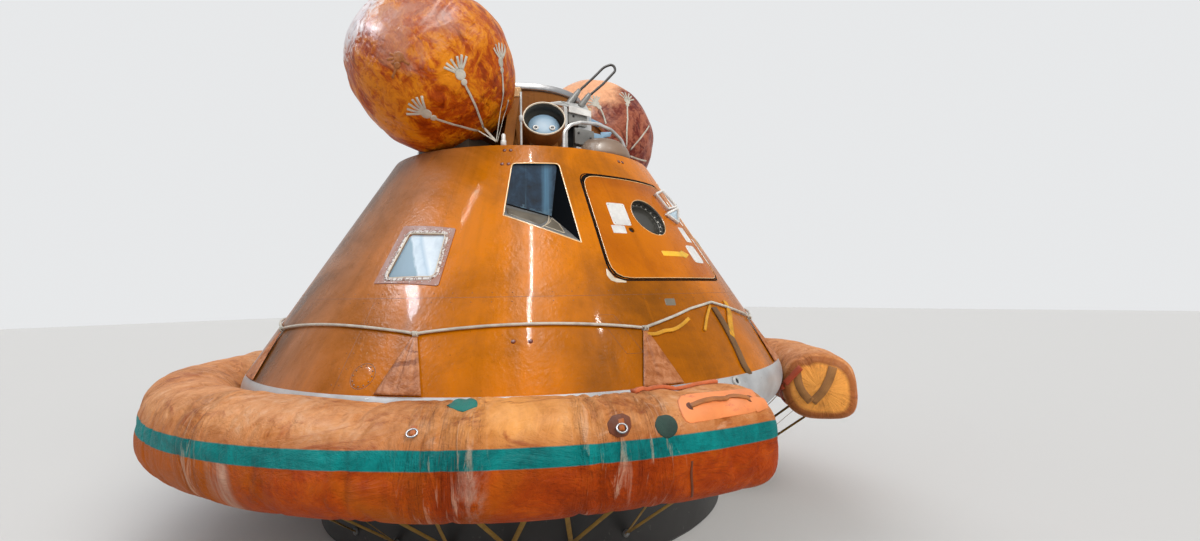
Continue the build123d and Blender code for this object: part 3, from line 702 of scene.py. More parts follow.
def crinkleLook(name, tones, glare, litZone, slash, seed=0.0, rough=0.42):
    # coated cloth that has been folded: mottled tones, thin slanting creases with painted highlight and
    # shade, painted light on one side and a painted glare
    dark, middle, light, litTone = tones
    look = newLook(name, Coat_Weight=0.1, Coat_Roughness=0.25, Coat_IOR=1.4, Specular_IOR_Level=0.12)
    place = scaled(here(look), place=(seed, seed, seed))
    warp = node("TexNoise", {"Vector": place, "Scale": 4.0, "Detail": 4.0}, 1)
    bent = node("Mix", {0: 0.12, 4: place, 5: warp}, 1, data_type="VECTOR")
    mottle = noise(bent, 17, 6, 0.72, 0.9)
    value = noise(place, 2.6, 7, 0.68, 0.9) * 0.6 + mottle * 0.4
    colour = ramp(value, [(0.38, dark), (0.475, middle), (0.56, light)])
    creases = []
    for way, share, shift in ((slash[0], 0.62, 3.0), (slash[1], 0.66, 7.0)):
        lines = noise(scaled(lined(bent, way, 2.2, 17), place=(shift, shift, 0)), 1.0, 3, 0.5)
        creases.append(lines)
        # painted highlight on one side of each crease and painted shade on the other
        colour = blend(levels(lines, share, share + 0.06, 0, 0.75), colour, light)
        colour = blend(levels(lines, 1 - share, 0.94 - share, 0, 0.7), colour, dark)
    cloud = noise(scaled(bent, place=(5, 1, 7)), 4.2, 6, 0.66, 0.5)
    # the painted light zone and the painted glare: direction, where it starts and is full, strength,
    # wandering edge, colour
    for (where, low, high, most), wander, share, tint in ((litZone, cloud, 0.55, litTone),
            (glare[1], mottle, 0.35, glare[0])):
        reach = dotWith(here(look), where) + (wander - 0.5) * share
        colour = blend(levels(reach, low, high, 0, most), colour, tint)
    normal = bump(mottle, 0.5, 0.012, bump(creases[0] + creases[1], 0.55, 0.03))
    normal = bump(weave(here(look), 0.004), 0.06, 0.001, normal)
    roughness = levels(noise(place, 6, 4, 0.6), 0.3, 0.7, rough * 0.8, rough * 1.4)
    return finished(look, Base_Color=colour, Roughness=roughness, Normal=normal)


def collarLook():
    # rubberised cloth: orange above, a teal tape round it, rust below, with stains, painted shade and
    # highlight along its folds and crumples, and painted light near its near end
    look = newLook("collarCloth", Coat_Weight=0.03, Coat_Roughness=0.35, Specular_IOR_Level=0.1)
    where = mapped(look)
    along, section, _ = parted(where)
    place = here(look)
    section = section + levels(along, 9.0, 10.8, 0.022, -0.002)
    cloud = noise(place, 2.2, 7, 0.7, 0.7)
    value = cloud * 0.6 + noise(place, 13, 6, 0.7, 0.8) * 0.4
    upper = ramp(value, [(0.38, (0.36, 0.1, 0.018)), (0.46, (0.58, 0.22, 0.065)),
                         (0.55, (0.72, 0.32, 0.125)),
                         (0.66, (0.8, 0.46, 0.27))])
    lower = ramp(value, [(0.36, (0.22, 0.022, 0.0005)), (0.5, (0.36, 0.044, 0.001)),
                         (0.62, (0.5, 0.08, 0.003))])
    worn = noise(scaled(place, place=(2, 6, 4)), 1.6, 5, 0.6, 0.5) + window(along, 9.5, 0.3, 0.25)
    lower = blend(levels(worn, 0.52, 0.68, 0, 0.7), lower, (0.44, 0.105, 0.002))
    # painted light: the upper cloth made brighter near the collar's near end, where light falls strongly
    paintedLight = window(along, 11.28, 0.1, 0.25) * levels(cloud, 0.35, 0.6, 0.2, 0.6)
    upper = blend(paintedLight, upper, (1.0, 0.44, 0.09))
    isEnd = levels(along, 0.3, 0.36, 1, 0)
    top, low = collar["stripeTop"], collar["stripeLow"]
    isUpper = reckon("MAXIMUM", levels(section, top - 0.003, top + 0.003), isEnd)
    cloth = blend(isUpper, lower, upper)
    cloth = blend(isUpper * levels(section, top, top + 0.05, 0.6, 0), cloth, (0.42, 0.12, 0.03))
    stain = noise(scaled(where, (5, 2.5, 1), (4.1, 0.7, 0.0)), 1.0, 6, 0.7, 0.8)
    for middle, half in collar["stains"]:
        faded = window(along, middle, half, 0.05) * levels(stain, 0.44, 0.6, 0, 0.7)
        cloth = blend(faded * reckon("SUBTRACT", 1.0, isUpper), cloth, (0.52, 0.36, 0.27))
    folds = noise(scaled(where, (3.0, 9, 1)), 1.0, 6, 0.72, 1.4)
    # painted shade and painted highlight along the folds that the bump below raises
    cloth = blend(isUpper * levels(folds, 0.55, 0.66, 0, 0.75), cloth, (0.33, 0.07, 0.018))
    cloth = blend(isUpper * levels(folds, 0.4, 0.3, 0, 0.5), cloth, (0.82, 0.5, 0.32))
    teal = ramp(value, [(0.38, (0.001, 0.105, 0.105)), (0.5, (0.001, 0.185, 0.18)),
                        (0.62, (0.003, 0.26, 0.25))])
    taped = levels(section, low - 0.0015, low + 0.0015) * levels(section, top - 0.0015, top + 0.0015, 1, 0)
    cloth = blend(taped * reckon("SUBTRACT", 1.0, isEnd), cloth, teal)
    cloth = blend(levels(along, 0.05, 0.065, 0.75, 0), cloth, (0.36, 0.11, 0.03))
    amber = levels(along, 0.006, 0.018, 1, 0) * levels(value, 0.4, 0.5, 0.55, 0.95)
    cloth = blend(amber, cloth, (1.0, 0.42, 0.085))
    streak = noise(scaled(where, (24, 5, 1)), 1.0, 5, 0.65, 1.0)
    near = None
    for middle, reach, _ in collar["crumples"]:
        mask = window(along, middle, reach * 0.6, reach)
        near = reckon("MAXIMUM", near, mask) if near else mask
    # painted highlight and painted shade along the crumples' creases, which the bump below raises
    cloth = blend(near * levels(streak, 0.56, 0.68, 0, 0.5), cloth, (0.8, 0.52, 0.36))
    cloth = blend(near * levels(streak, 0.42, 0.32, 0, 0.4), cloth, (0.16, 0.035, 0.01))
    crease = noise(scaled(where, (6, 22, 1)), 1.0, 6, 0.7, 0.8)
    small = noise(scaled(where, (24, 26, 1)), 1.0, 4, 0.6, 1.4)
    normal = bump(small, 0.25, 0.01, bump(crease, 0.3, 0.02, bump(folds, 0.65, 0.05)))
    normal = bump(weave(where, 0.005), 0.05, 0.001, bump(near * streak, 0.8, 0.05, normal))
    return finished(look, Base_Color=cloth, Roughness=levels(cloud, 0.3, 0.7, 0.46, 0.66), Normal=normal)


def paneLook():
    # dark blue pane with painted reflections: upright pale streaks, a brighter band towards its side, and a
    # cloudy lower edge
    look = newLook("darkPane", Coat_Weight=0.15, Coat_Roughness=0.03, Roughness=0.15)
    place = here(look)
    cloud = noise(place, 7, 6, 0.68, 0.6)
    colour = ramp(cloud, [(0.3, (0.003, 0.008, 0.016)), (0.5, (0.01, 0.034, 0.07)),
                          (0.72, (0.035, 0.09, 0.16))])
    # painted reflections: upright pale streaks
    reflectionStreaks = noise(scaled(place, (60, 60, 1.2)), 1.0, 3, 0.6)
    colour = blend(levels(reflectionStreaks, 0.6, 0.75, 0, 0.4), colour, (0.1, 0.24, 0.36))
    x, y, height = parted(place)
    across = reckon("ABSOLUTE", x) * -0.823 + y * -0.568
    # painted reflection: a brighter band of streaks towards the pane's side
    paintedLight = window(across, 0.072, 0.012, 0.028) * levels(reflectionStreaks, 0.35, 0.6, 0.35, 0.85)
    colour = blend(paintedLight, colour, (0.11, 0.27, 0.42))
    low = (levels(height, baseZ + 0.98, baseZ + 1.08, 0.16, -0.2)
           + noise(scaled(place, (1, 1, 2)), 14, 5, 0.7, 0.8))
    return finished(look, Base_Color=blend(levels(low, 0.52, 0.66, 0, 0.7), colour, (0.14, 0.26, 0.36)))


def hallReflectionPaneLook():
    # side pane with a painted reflection of a pale hall: a bright band leans across blue-grey, the same on
    # both sides
    look = newLook("paintedReflectionPane", Roughness=0.45, Specular_IOR_Level=0.08)
    x, y, z = parted(here(look))
    wave = noise(here(look), 9, 4, 0.6, 0.5)
    lean = reckon("ABSOLUTE", x) * -0.45 + y * -0.89 + (z - (baseZ + 0.714)) * 0.62 + (wave - 0.5) * 0.05
    stops = [(0.0, (0.16, 0.26, 0.33)), (0.42, (0.26, 0.4, 0.5)), (0.46, (0.72, 0.85, 0.95)),
             (0.56, (0.66, 0.8, 0.92)), (0.6, (0.5, 0.66, 0.8)), (0.66, (0.8, 0.9, 0.98)),
             (1.0, (0.72, 0.84, 0.94))]
    colour = ramp(levels(lean, -0.2, 0.2), stops)
    return finished(look, Base_Color=blend(levels(wave, 0.35, 0.7, 0, 0.35), colour, (0.26, 0.38, 0.5)))


# The stripe on the collar lies between two places on its section, counted from 0 to 1 round it
collar = {
    "start": 27.0,
    "end": 351,
    "bays": 7,
    "radius": 2.1985,
    "height": -0.2,
    "halfWidth": 0.249,
    "halfDepth": 0.219,
    "squareness": 2.4,
    "lowerSquareness": 4.4,
    "front": 8.9,
    "frontRows": 236,
    "rearRows": 140,
    "columns": 64,
    "stripeLow": 0.5 + 2.2 / 360,
    "stripeTop": 0.5 + 20.0 / 360,
    "seamPinch": 0.006,
    "folds": 0.036,
    "lumps": 0.007,
    # groups of upright wrinkles: place along, half reach, depth
    "crumples": [(1.6, 0.1, 0.008), (3.6, 0.12, 0.008), (5.3, 0.1, 0.008), (7.1, 0.12, 0.008),
                 (8.6, 0.1, 0.008),
                 (9.86, 0.08, 0.014), (11.0, 0.12, 0.014), (11.58, 0.09, 0.026), (11.8, 0.08, 0.024)],
    "stains": [(10.08, 0.035), (11.12, 0.015), (4.4, 0.06)],
    "endLength": 0.13,
    "endShare": 0.62,
    # rows of the domed end: place along, share of the end's section
    "bulge": [(-0.016, 0.16), (-0.014, 0.48), (-0.008, 0.78)],
    "pressure": 3.0,
    "grow": 0.03,
    "cap": 0.02,
}

# the last value gives the cone painted shade on its left and lower right, a painted light band and a
# painted glare
varnish = varnishLook("coneVarnish", (0.14, 0.046, 0.004), (0.46, 0.132, 0.001), (0.7, 0.2, 0.001),
                      0.0, 0.045, 0.15)
bagSlash = [(0.42, -0.43, -0.8), (-0.5, 0.2, -0.84)]
nowhere = ((0, 0, 1), 9.0, 10.0, 0.0)
looks = {
    "cone": varnish,
    "hatch": varnishLook("hatchVarnish", (0.2, 0.048, 0.003), (0.44, 0.11, 0.001), (0.6, 0.165, 0.001),
                         3.0, 0.03),
    "base_ring": paintLook("shieldPaint", (0.46, 0.47, 0.48), (0.3, 0.27, 0.24), 0.4, 0.62, metallic=0.2),
    "dark_glass": paneLook(),
    "sky_glass": hallReflectionPaneLook(),
    "window_frame": paintLook("framePaint", (0.3, 0.1, 0.045), (0.6, 0.5, 0.44), 0.6, 0.6, 30),
    "bare_metal": metalLook("satinMetal", (0.62, 0.61, 0.6)),
    "bronze_metal": varnishLook("deckVarnish", (0.035, 0.016, 0.006), (0.11, 0.042, 0.012),
                                (0.26, 0.1, 0.025), 7.0, -0.14),
    "cable": paintLook("cableSheath", (0.03, 0.026, 0.024), (0.09, 0.07, 0.06), 0.5, 0.6, 30),
    # each bag's third argument paints light on the side where light falls; its glare is a painted
    # reflection
    "bag_orange": crinkleLook(
        "orangeBagCloth",
        [(0.2, 0.018, 0.0003), (0.43, 0.068, 0.0006), (0.72, 0.23, 0.005), (0.5, 0.22, 0.14)],
        [(0.92, 0.9, 0.95), ((-0.9, 0.12, 0.42), 2.565, 2.63, 0.85)],
        ((-0.66, -0.72, 0.2), 1.83, 1.92, 0.7), bagSlash),
    "bag_red": crinkleLook(
        "redBagCloth", [(0.06, 0.005, 0.003), (0.15, 0.02, 0.012), (0.38, 0.12, 0.065), (0.98, 0.5, 0.27)],
        [(0.66, 0.5, 0.42), nowhere], ((-0.6, 0.005, 0.8), 2.05, 2.2, 0.92), bagSlash, 5.0),
    # trays painted near black: painted shade under the bags
    "tray": paintLook("trayPaintedShade", (0.06, 0.045, 0.03), (0.12, 0.09, 0.06), 0.6),
    "flap": crinkleLook(
        "flapCloth", [(0.2, 0.05, 0.012), (0.4, 0.14, 0.045), (0.56, 0.24, 0.11), (0.5, 0.26, 0.15)],
        [(0.6, 0.36, 0.24), nowhere], nowhere, [(0.74, -0.66, 0.12), (0.66, -0.6, -0.45)], 2.0, 0.5),
    "cabin_metal": paintLook("cabinPaint", (0.42, 0.44, 0.44), (0.2, 0.2, 0.2), 0.6),
    "couch": paintLook("couchPaint", (0.24, 0.26, 0.22), (0.12, 0.12, 0.1), 0.6),
    "plinth": paintLook("plinthPaint", (0.022, 0.021, 0.02), (0.06, 0.055, 0.05), 0.5, 0.62, 8),
    "pad": paintLook("padRubber", (0.03, 0.03, 0.03), (0.06, 0.06, 0.06), 0.8),
}
looks["collar"] = collarLook()
whiteStrap = webbingLook("whiteStrap", (0.7, 0.66, 0.56))
yellowStrap = webbingLook("yellowStrap", (0.8, 0.38, 0.025))
tanStrap = webbingLook("tanStrap", (0.42, 0.19, 0.06))
brownStrap = webbingLook("brownStrap", (0.2, 0.1, 0.035))
redCloth = webbingLook("redCloth", (0.55, 0.085, 0.03), 0.6)
rollCloth = webbingLook("rollCloth", (0.8, 0.21, 0.08), 0.6)
# yellow webbing darkened to stand for the shade under the collar: painted shade
yellowStrapInShade = webbingLook("yellowStrapInShade", (0.34, 0.19, 0.025))
stainedCloth = webbingLook("stainedCloth", (0.2, 0.055, 0.022), 0.6)
ropeLook = webbingLook("whiteRope", (0.7, 0.66, 0.57))
whitePaint = paintLook("whitePaint", (0.78, 0.77, 0.74), (0.4, 0.36, 0.3), 0.45, 0.72, 30)
yellowPaint = paintLook("yellowPaint", (0.88, 0.5, 0.015), (0.45, 0.22, 0.02), 0.45, 0.72, 30)
blackPaint = paintLook("blackPaint", (0.008, 0.008, 0.01), (0.03, 0.025, 0.02), 0.5, 0.7)
# near-black rubber for the hatch seal and the sills' back bars; round the hatch it also stands for the
# gap's shade
rubberAndGapShade = paintLook("sealRubberAndGapShade", (0.006, 0.004, 0.003), (0.02, 0.01, 0.006), 0.9, 0.76, 20, shine=0.06)
deepShade = paintLook("deepShade", (0.004, 0.006, 0.009), (0.01, 0.012, 0.015), 0.9, 0.7, shine=0.03)
paleSheet = paintLook("paleSheet", (0.52, 0.66, 0.76), (0.62, 0.68, 0.7), 0.6, 0.68, 20)
paleBlue = paintLook("paleBluePaint", (0.27, 0.44, 0.6), (0.6, 0.64, 0.66), 0.6, 0.68, 20)
darkOlive = paintLook("darkOlivePaint", (0.04, 0.038, 0.03), (0.02, 0.018, 0.015), 0.5, 0.66, 12)
paleGrey = paintLook("paleGreyPaint", (0.52, 0.53, 0.52), (0.25, 0.22, 0.18), 0.45, 0.66, 18)
domePaint = paintLook("domePaint", (0.24, 0.155, 0.1), (0.36, 0.3, 0.26), 0.5, 0.58, 3, coat=0.08)
ironGrey = paintLook("ironGreyPaint", (0.2, 0.2, 0.19), (0.08, 0.06, 0.05), 0.45, 0.62, 18)
ringMetal = metalLook("ringMetal", (0.33, 0.33, 0.34), 0.42, (4, 4, 40))
screwMetal = metalLook("screwMetal", (0.5, 0.48, 0.44), 0.4)
# pale amber beads: painted highlight along the edges of the forward windows, the hatch and the hatch window
paintedEdgeHighlight = paintLook("paintedEdgeHighlight", (0.9, 0.55, 0.22), (0.6, 0.25, 0.05), 0.3, 0.7, 12, coat=0.5)
seamBrown = paintLook("seamBrown", (0.2, 0.06, 0.008), (0.3, 0.1, 0.02), 0.5, 0.6, 12)
redScrew = paintLook("redScrew", (0.14, 0.018, 0.006), (0.06, 0.02, 0.01), 0.4)
flakePaint = paintLook("flakePaint", (0.68, 0.64, 0.6), (0.2, 0.08, 0.035), 0.5, 0.5, 22)
sillGrey = paintLook("sillGrey", (0.17, 0.145, 0.105), (0.1, 0.08, 0.06), 0.4, 0.66, 30)
sillPale = paintLook("sillPale", (0.66, 0.56, 0.42), (0.4, 0.3, 0.2), 0.4, 0.72, 30)
bronzePale = paintLook("paleBronze", (0.55, 0.38, 0.2), (0.3, 0.17, 0.07), 0.35, 0.6, 24, metallic=0.4)
tealCloth = webbingLook("tealPatch", (0.004, 0.24, 0.2))
darkTeal = webbingLook("darkTealPatch", (0.035, 0.075, 0.06))
# full orange that stands for strong light on the patch at the collar's near end: painted light
paintedLightCloth = paintLook("paintedLightCloth", (1.0, 0.31, 0.09), (0.75, 0.2, 0.07), 0.7, 0.6, 8)
orangeCloth = webbingLook("orangeCloth", (0.56, 0.15, 0.03), 0.6)
faintCloth = webbingLook("faintCloth", (0.5, 0.17, 0.04), 0.55)
print("stage: finishes made")

# Every node of the frame takes the finish of its slot
for row in frame["record"]["subparts"]:
    solid = frame["nodes"][row["node"]]
    if not solid.material_slots:
        solid.data.materials.append(looks[row["material_slot"]])
    for holder in solid.material_slots:
        holder.material = looks[row["material_slot"]]
print("stage: finishes given to", len(frame["nodes"]), "nodes")


# Blown-up cloth

def blowUp(piece, pins, pressure, grow, cap):
    # cloth with gas inside grows a little between its held seams; no point moves further than the cap
    mesh = piece.data
    before = np.empty(len(mesh.vertices) * 3)
    mesh.vertices.foreach_get("co", before)
    before = before.reshape(-1, 3)
    group = piece.vertex_groups.new(name="seams")
    for weight in np.unique(pins[pins > 0]):
        group.add(np.flatnonzero(pins == weight).tolist(), float(weight), "REPLACE")
    cloth = piece.modifiers.new("cloth", "CLOTH")
    cloth.settings.quality = 6
    cloth.settings.mass = 0.4
    cloth.settings.vertex_group_mass = "seams"
    cloth.settings.shrink_min = -grow
    cloth.settings.use_pressure = True
    cloth.settings.uniform_pressure_force = pressure
    cloth.settings.effector_weights.gravity = 0
    cloth.settings.bending_stiffness = 0.4
    cloth.collision_settings.use_collision = False
    scene = bpy.context.scene
    for step in range(1, 21):
        scene.frame_set(step)
    graph = bpy.context.evaluated_depsgraph_get()
    shaped = piece.evaluated_get(graph).to_mesh()
    after = np.empty(len(shaped.vertices) * 3)
    shaped.vertices.foreach_get("co", after)
    piece.evaluated_get(graph).to_mesh_clear()
    piece.modifiers.remove(cloth)
    piece.vertex_groups.clear()
    scene.frame_set(1)
    move = after.reshape(-1, 3) - before
    length = np.linalg.norm(move, axis=1, keepdims=True)
    move = move * (cap * np.tanh(length / cap) / np.maximum(length, 1e-9))
    mesh.vertices.foreach_set("co", (before + move).ravel())
    mesh.update()
    print("stage:", piece.name, "blown up, furthest move", round(float(length.max()), 3))
    return piece


def finer(piece):
    # one subdivision made part of the mesh
    smooth = piece.modifiers.new("finer", "SUBSURF")
    smooth.levels = 1
    smooth.render_levels = 1
    graph = bpy.context.evaluated_depsgraph_get()
    mesh = bpy.data.meshes.new_from_object(piece.evaluated_get(graph), depsgraph=graph)
    piece.modifiers.clear()
    piece.data = mesh
    return piece


def collarSection(turn):
    # distance of a rounded oblong's edge from its middle, in the direction of an angle from outwards to up
    a, b = collar["halfWidth"], collar["halfDepth"]
    n = np.where((np.cos(turn) > 0) & (np.sin(turn) < 0), collar["lowerSquareness"], collar["squareness"])
    return (np.abs(np.cos(turn) / a) ** n + np.abs(np.sin(turn) / b) ** n) ** (-1 / n)


def collarPoints():
    # (place along, place round) to a point: an oblong carried round the axis, drawn in at seams and ends
    start, end = math.radians(collar["start"]), math.radians(collar["end"])
    length = (end - start) * collar["radius"]
    close = collar["endLength"] * (1 - np.cos(np.linspace(0, np.pi / 2, 9)[:-1]))
    rear = np.linspace(collar["endLength"], collar["front"], collar["rearRows"], endpoint=False)
    front = np.linspace(collar["front"], length - collar["endLength"], collar["frontRows"])
    bulge, ease = np.array(collar["bulge"]).T
    along = np.concatenate([bulge, close, rear, front, (length - close)[::-1], length - bulge[::-1]])
    along = along[:, None]
    ease = np.concatenate([ease, np.ones(len(along) - 2 * len(ease)), ease[::-1]])[:, None]
    turn = np.linspace(-np.pi, np.pi, collar["columns"], endpoint=False)[None]
    edge = np.minimum(along, length - along)
    near = np.clip(edge / collar["endLength"], 0, 1)
    share = collar["endShare"] + (1 - collar["endShare"]) * np.sqrt(1 - (1 - near) ** 2)
    bay = length / collar["bays"]
    seam = np.abs((along + bay / 2) % bay - bay / 2)
    pinch = collar["seamPinch"] * np.exp(-(seam / 0.035) ** 2)
    azimuth = start + along / collar["radius"]
    tie = np.abs((np.degrees(azimuth) + 57 + 20) % 40 - 20) * math.radians(1) * collar["radius"]
    top = np.clip(np.sin(turn), 0, 1)
    side = np.clip(np.cos(turn), 0, 1)
    pinch = pinch + 0.012 * np.exp(-(tie / 0.1) ** 2) * top
    girth = collarSection(turn)
    span = turn * girth
    flat = np.stack(np.broadcast_arrays(along, span), axis=-1)
    warp = waves(flat, 0.9, 6, 3) * 0.05
    sharp = 1 - np.abs(np.sin((along * 0.8 - span * 1.0 + warp * 4) * np.pi / 0.27)) ** 0.5
    some = np.clip(waves(flat, 0.5, 5, 8) * 2.0 + 0.1, 0, 1)
    fold = collar["folds"] * (top ** 0.5) * (0.25 - sharp) * some
    lump = collar["lumps"] * waves(flat, 0.55, 7, 5) * (0.3 + 0.7 * top)
    crumple = 0
    for index, (place, reach, depth) in enumerate(collar["crumples"]):
        pitch = 0.062 + 0.008 * (index % 3)
        wrinkle = np.abs(np.sin((along - place + 0.25 * warp + 0.05 * span) * np.pi / pitch + index))
        mask = np.exp(-((along - place) / reach) ** 2) * np.clip(top + 0.35 * side, 0, 1)
        crumple = crumple - depth * mask * (1 - wrinkle ** 0.7)
    out = (girth * share - pinch + fold + lump * near + crumple) * ease
    radius = collar["radius"] + out * np.cos(turn)
    points = around(np.degrees(azimuth), radius, collar["height"] + out * np.sin(turn))
    return points, along[:, 0], seam[:, 0], edge[:, 0]


def makeCollar():
    # the collar's grid, pinned at its seams and ends, half pinned at the tape's edges, then blown up
    points, along, seam, edge = collarPoints()
    rows, columns = points.shape[:2]
    us = np.append(along, along[-1])
    vs = np.linspace(0, 1, columns + 1)
    piece = addGrid("flotationCollar", points, looks["collar"], us=us, vs=vs)
    pins = np.zeros((rows, columns))
    pins[seam < 0.012] = 1
    pins[edge < 0.02] = 1
    for place in (collar["stripeLow"], collar["stripeTop"]):
        pins[:, int(round(place * columns))] = np.maximum(pins[:, int(round(place * columns))], 0.5)
    blowUp(piece, np.append(pins.ravel(), [1, 1]), collar["pressure"], collar["grow"], collar["cap"])
    finer(piece)
    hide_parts(*[f"collar_bay_{index + 1}" for index in range(collar["bays"])])
    return piece


collarPiece = makeCollar()
collarTree = surfaceTree(collarPiece)
print("stage: collar made")


# Uprighting bags: each a ball that leans on the tunnel, stands on its tray and is drawn in below

bags = {
    "radius": 0.546,
    "places": [(-78.4, 0.951, 1.999), (99.9, 0.996, 1.917)],
    "rows": [112, 80],
    "columns": [168, 120],
    "tunnel": 0.47,
    "lumps": [0.014, 0.018],
    "creases": 90,
    "creaseDepth": 0.011,
    # flattened sides: direction, share of the radius, and where it starts
    "dents": [((-0.53, 0.54, -0.65), 0.045, 0.6), ((0.6, 0.5, -0.62), 0.05, 0.7)],
    "slots": ["bag_orange", "bag_red"],
    "pressure": 3.0,
    "grow": 0.045,
    "cap": 0.014,
}


def creased(way, count, seed):
    # short straight folds: a valley along a great circle, faded away from its own middle, summed
    dice = np.random.default_rng(seed)
    centre = unit(dice.normal(size=(count, 3)))
    across = unit(np.cross(centre, dice.normal(size=(count, 3))))
    width = dice.uniform(0.02, 0.05, count)
    reach = dice.uniform(0.12, 0.36, count)
    depth = dice.uniform(0.4, 1.0, count) * np.sign(dice.uniform(-1, 0.45, count))
    flat = way.reshape(-1, 3)
    away = flat @ across.T
    distance = ((flat[:, None] - centre) ** 2).sum(-1)
    fold = np.exp(-np.abs(away / width) ** 1.3) * np.exp(-distance / reach ** 2) * depth
    return fold.sum(-1).reshape(way.shape[:-1])


def bagPoints(index):
    # (turn from the pole, turn round it) to a point of a lumpy ball, then pushed clear of tunnel and rim
    azimuth, distance, height = bags["places"][index]
    middle = around(azimuth, distance, height)
    pole = unit(around(azimuth, 0.0, height) - middle)
    level = unit(np.cross(pole, skyward))
    upright = np.cross(level, pole)
    polar = np.linspace(0, np.pi, bags["rows"][index] + 2)[1:-1, None]
    turn = np.linspace(0, 2 * np.pi, bags["columns"][index], endpoint=False)[None]
    way = (np.cos(polar)[..., None] * pole + (np.sin(polar) * np.cos(turn))[..., None] * level
           + (np.sin(polar) * np.sin(turn))[..., None] * upright)
    lump = bags["lumps"][index] * waves(way, 0.9, 9, 11 + index) + 0.005 * waves(way, 0.3, 9, 21 + index)
    fold = bags["creaseDepth"] * creased(way, bags["creases"], 31 + index)
    dent, share, begin = bags["dents"][index]
    flattened = share * np.clip((way @ unit(np.array(dent)) - begin) / (1 - begin), 0, 1) ** 1.4
    out = bags["radius"] * (0.988 - flattened) + lump + fold * np.sin(polar) ** 0.5
    points = middle + way * out[..., None]
    flat = np.linalg.norm(points[..., :2], axis=-1)
    push = np.maximum(bags["tunnel"], flat) / flat
    points[..., :2] *= push[..., None]
    points[..., 2] = np.maximum(points[..., 2], baseZ + rimHeight + 0.002)
    return points


def makeBag(index):
    # the bag's grid, pinned where it meets the tunnel and its tray, then blown up
    points = bagPoints(index)
    name = ["orangeBag", "redBag"][index]
    piece = addGrid(name, points, looks[bags["slots"][index]])
    flat = np.linalg.norm(points[..., :2], axis=-1)
    pins = np.where((flat < bags["tunnel"] + 0.004) | (points[..., 2] < baseZ + 1.441), 1.0, 0.0)
    blowUp(piece, np.append(pins.ravel(), [1, 1]), bags["pressure"], bags["grow"], bags["cap"])
    finer(piece)
    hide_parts(f"uprighting_bag_{index + 1}")
    return piece


bagPieces = [makeBag(0), makeBag(1)]
bagTrees = [surfaceTree(piece) for piece in bagPieces]
print("stage: bags made")


# Cloth flaps that tie the collar to the cone, narrow end at the rope

flaps = {"first": -57.0, "step": 40.0, "count": 9, "height": 0.274, "foot": 0.004, "halfWidth": 0.125,
         "tip": 0.012,
         "depth": 0.004, "rows": 28, "columns": 24}


def makeFlap(index):
    # (up, across) to a point: a triangle on the cone with folds that fan out from its narrow end
    azimuth = flaps["first"] + index * flaps["step"]
    up = np.linspace(0, 1, flaps["rows"])[:, None]
    across = np.linspace(-1, 1, flaps["columns"])[None]
    height = flaps["foot"] + (flaps["height"] - flaps["foot"]) * up
    half = flaps["halfWidth"] + (flaps["tip"] - flaps["halfWidth"]) * up
    offset = across * half
    radius = baseRadius - coneSlope * height
    spread = azimuth + np.degrees(offset / radius)
    fan = np.sin(across * 7 + index) * 0.6 + np.sin(across * 15 + 2 * index + up * 3) * 0.4
    belly = np.sin(np.pi * np.clip(up * 0.9 + 0.1, 0, 1)) * (1 - np.abs(across) ** 3)
    lift = 0.009 + 0.006 * (fan + 1) * belly
    points = onCone(spread, height, lift)
    name = f"collarFlap_{index + 1}"
    piece = addGrid(name, points, looks["flap"], form="sheet", us=np.linspace(0, 0.3, flaps["rows"] + 1),
                    vs=np.linspace(0, 0.25, flaps["columns"] + 1))
    thicken(piece, flaps["depth"])
    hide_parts("collar_flaps")
    return piece


for index in range(flaps["count"]):
    makeFlap(index)
print("stage: flaps made")


# White rope round the cone, tied at each flap and higher between them

rope = {"radius": 0.008, "lift": 0.013, "atFlap": 0.282, "between": 0.324,
        "high": [(-3.6, 0.376), (4.8, 0.407)]}


def makeRope():
    # closed path: height by a smooth wave between ties, raised in front where the straps lift it
    azimuth = np.linspace(-57, 303, 361)[:-1]
    step = (azimuth - flaps["first"]) / flaps["step"]
    height = rope["atFlap"] + (rope["between"] - rope["atFlap"]) * np.sin(np.pi * (step % 1)) ** 0.8
    marks = [(-17.5, rope["atFlap"]), *rope["high"], (22.5, rope["atFlap"] + 0.02)]
    front = np.interp(azimuth, [m[0] for m in marks], [m[1] for m in marks])
    height = np.where((azimuth > marks[0][0]) & (azimuth < marks[-1][0]), front, height)
    path = onCone(azimuth, height, rope["lift"])
    addHoop("tieRope", path, circle(rope["radius"], 8), coneNormal(azimuth[0]), ropeLook,
            us=np.linspace(0, 11, 361), vs=np.linspace(0, 0.05, 9))


makeRope()
print("stage: rope made")


# Seams of the skin: thin dark lines, level and up the slope

seams = {
    "width": 0.002,
    "depth": 0.0006,
    "level": 0.3274 * rimHeight,
    "panelSection": [(-0.001, -0.0005), (0.001, -0.0005), (0.001, 0.0007), (-0.001, 0.0007)],
    "uprights": [-68.6, 68.6, 129.4, -159.8, -129.4],
    "upperUprights": [130.0, 180.0, -130.0],
    "smallPanel": [(-25.4, 0.365), (-22.2, 0.365), (-18.6, 0.165), (-21.8, 0.165)],
}


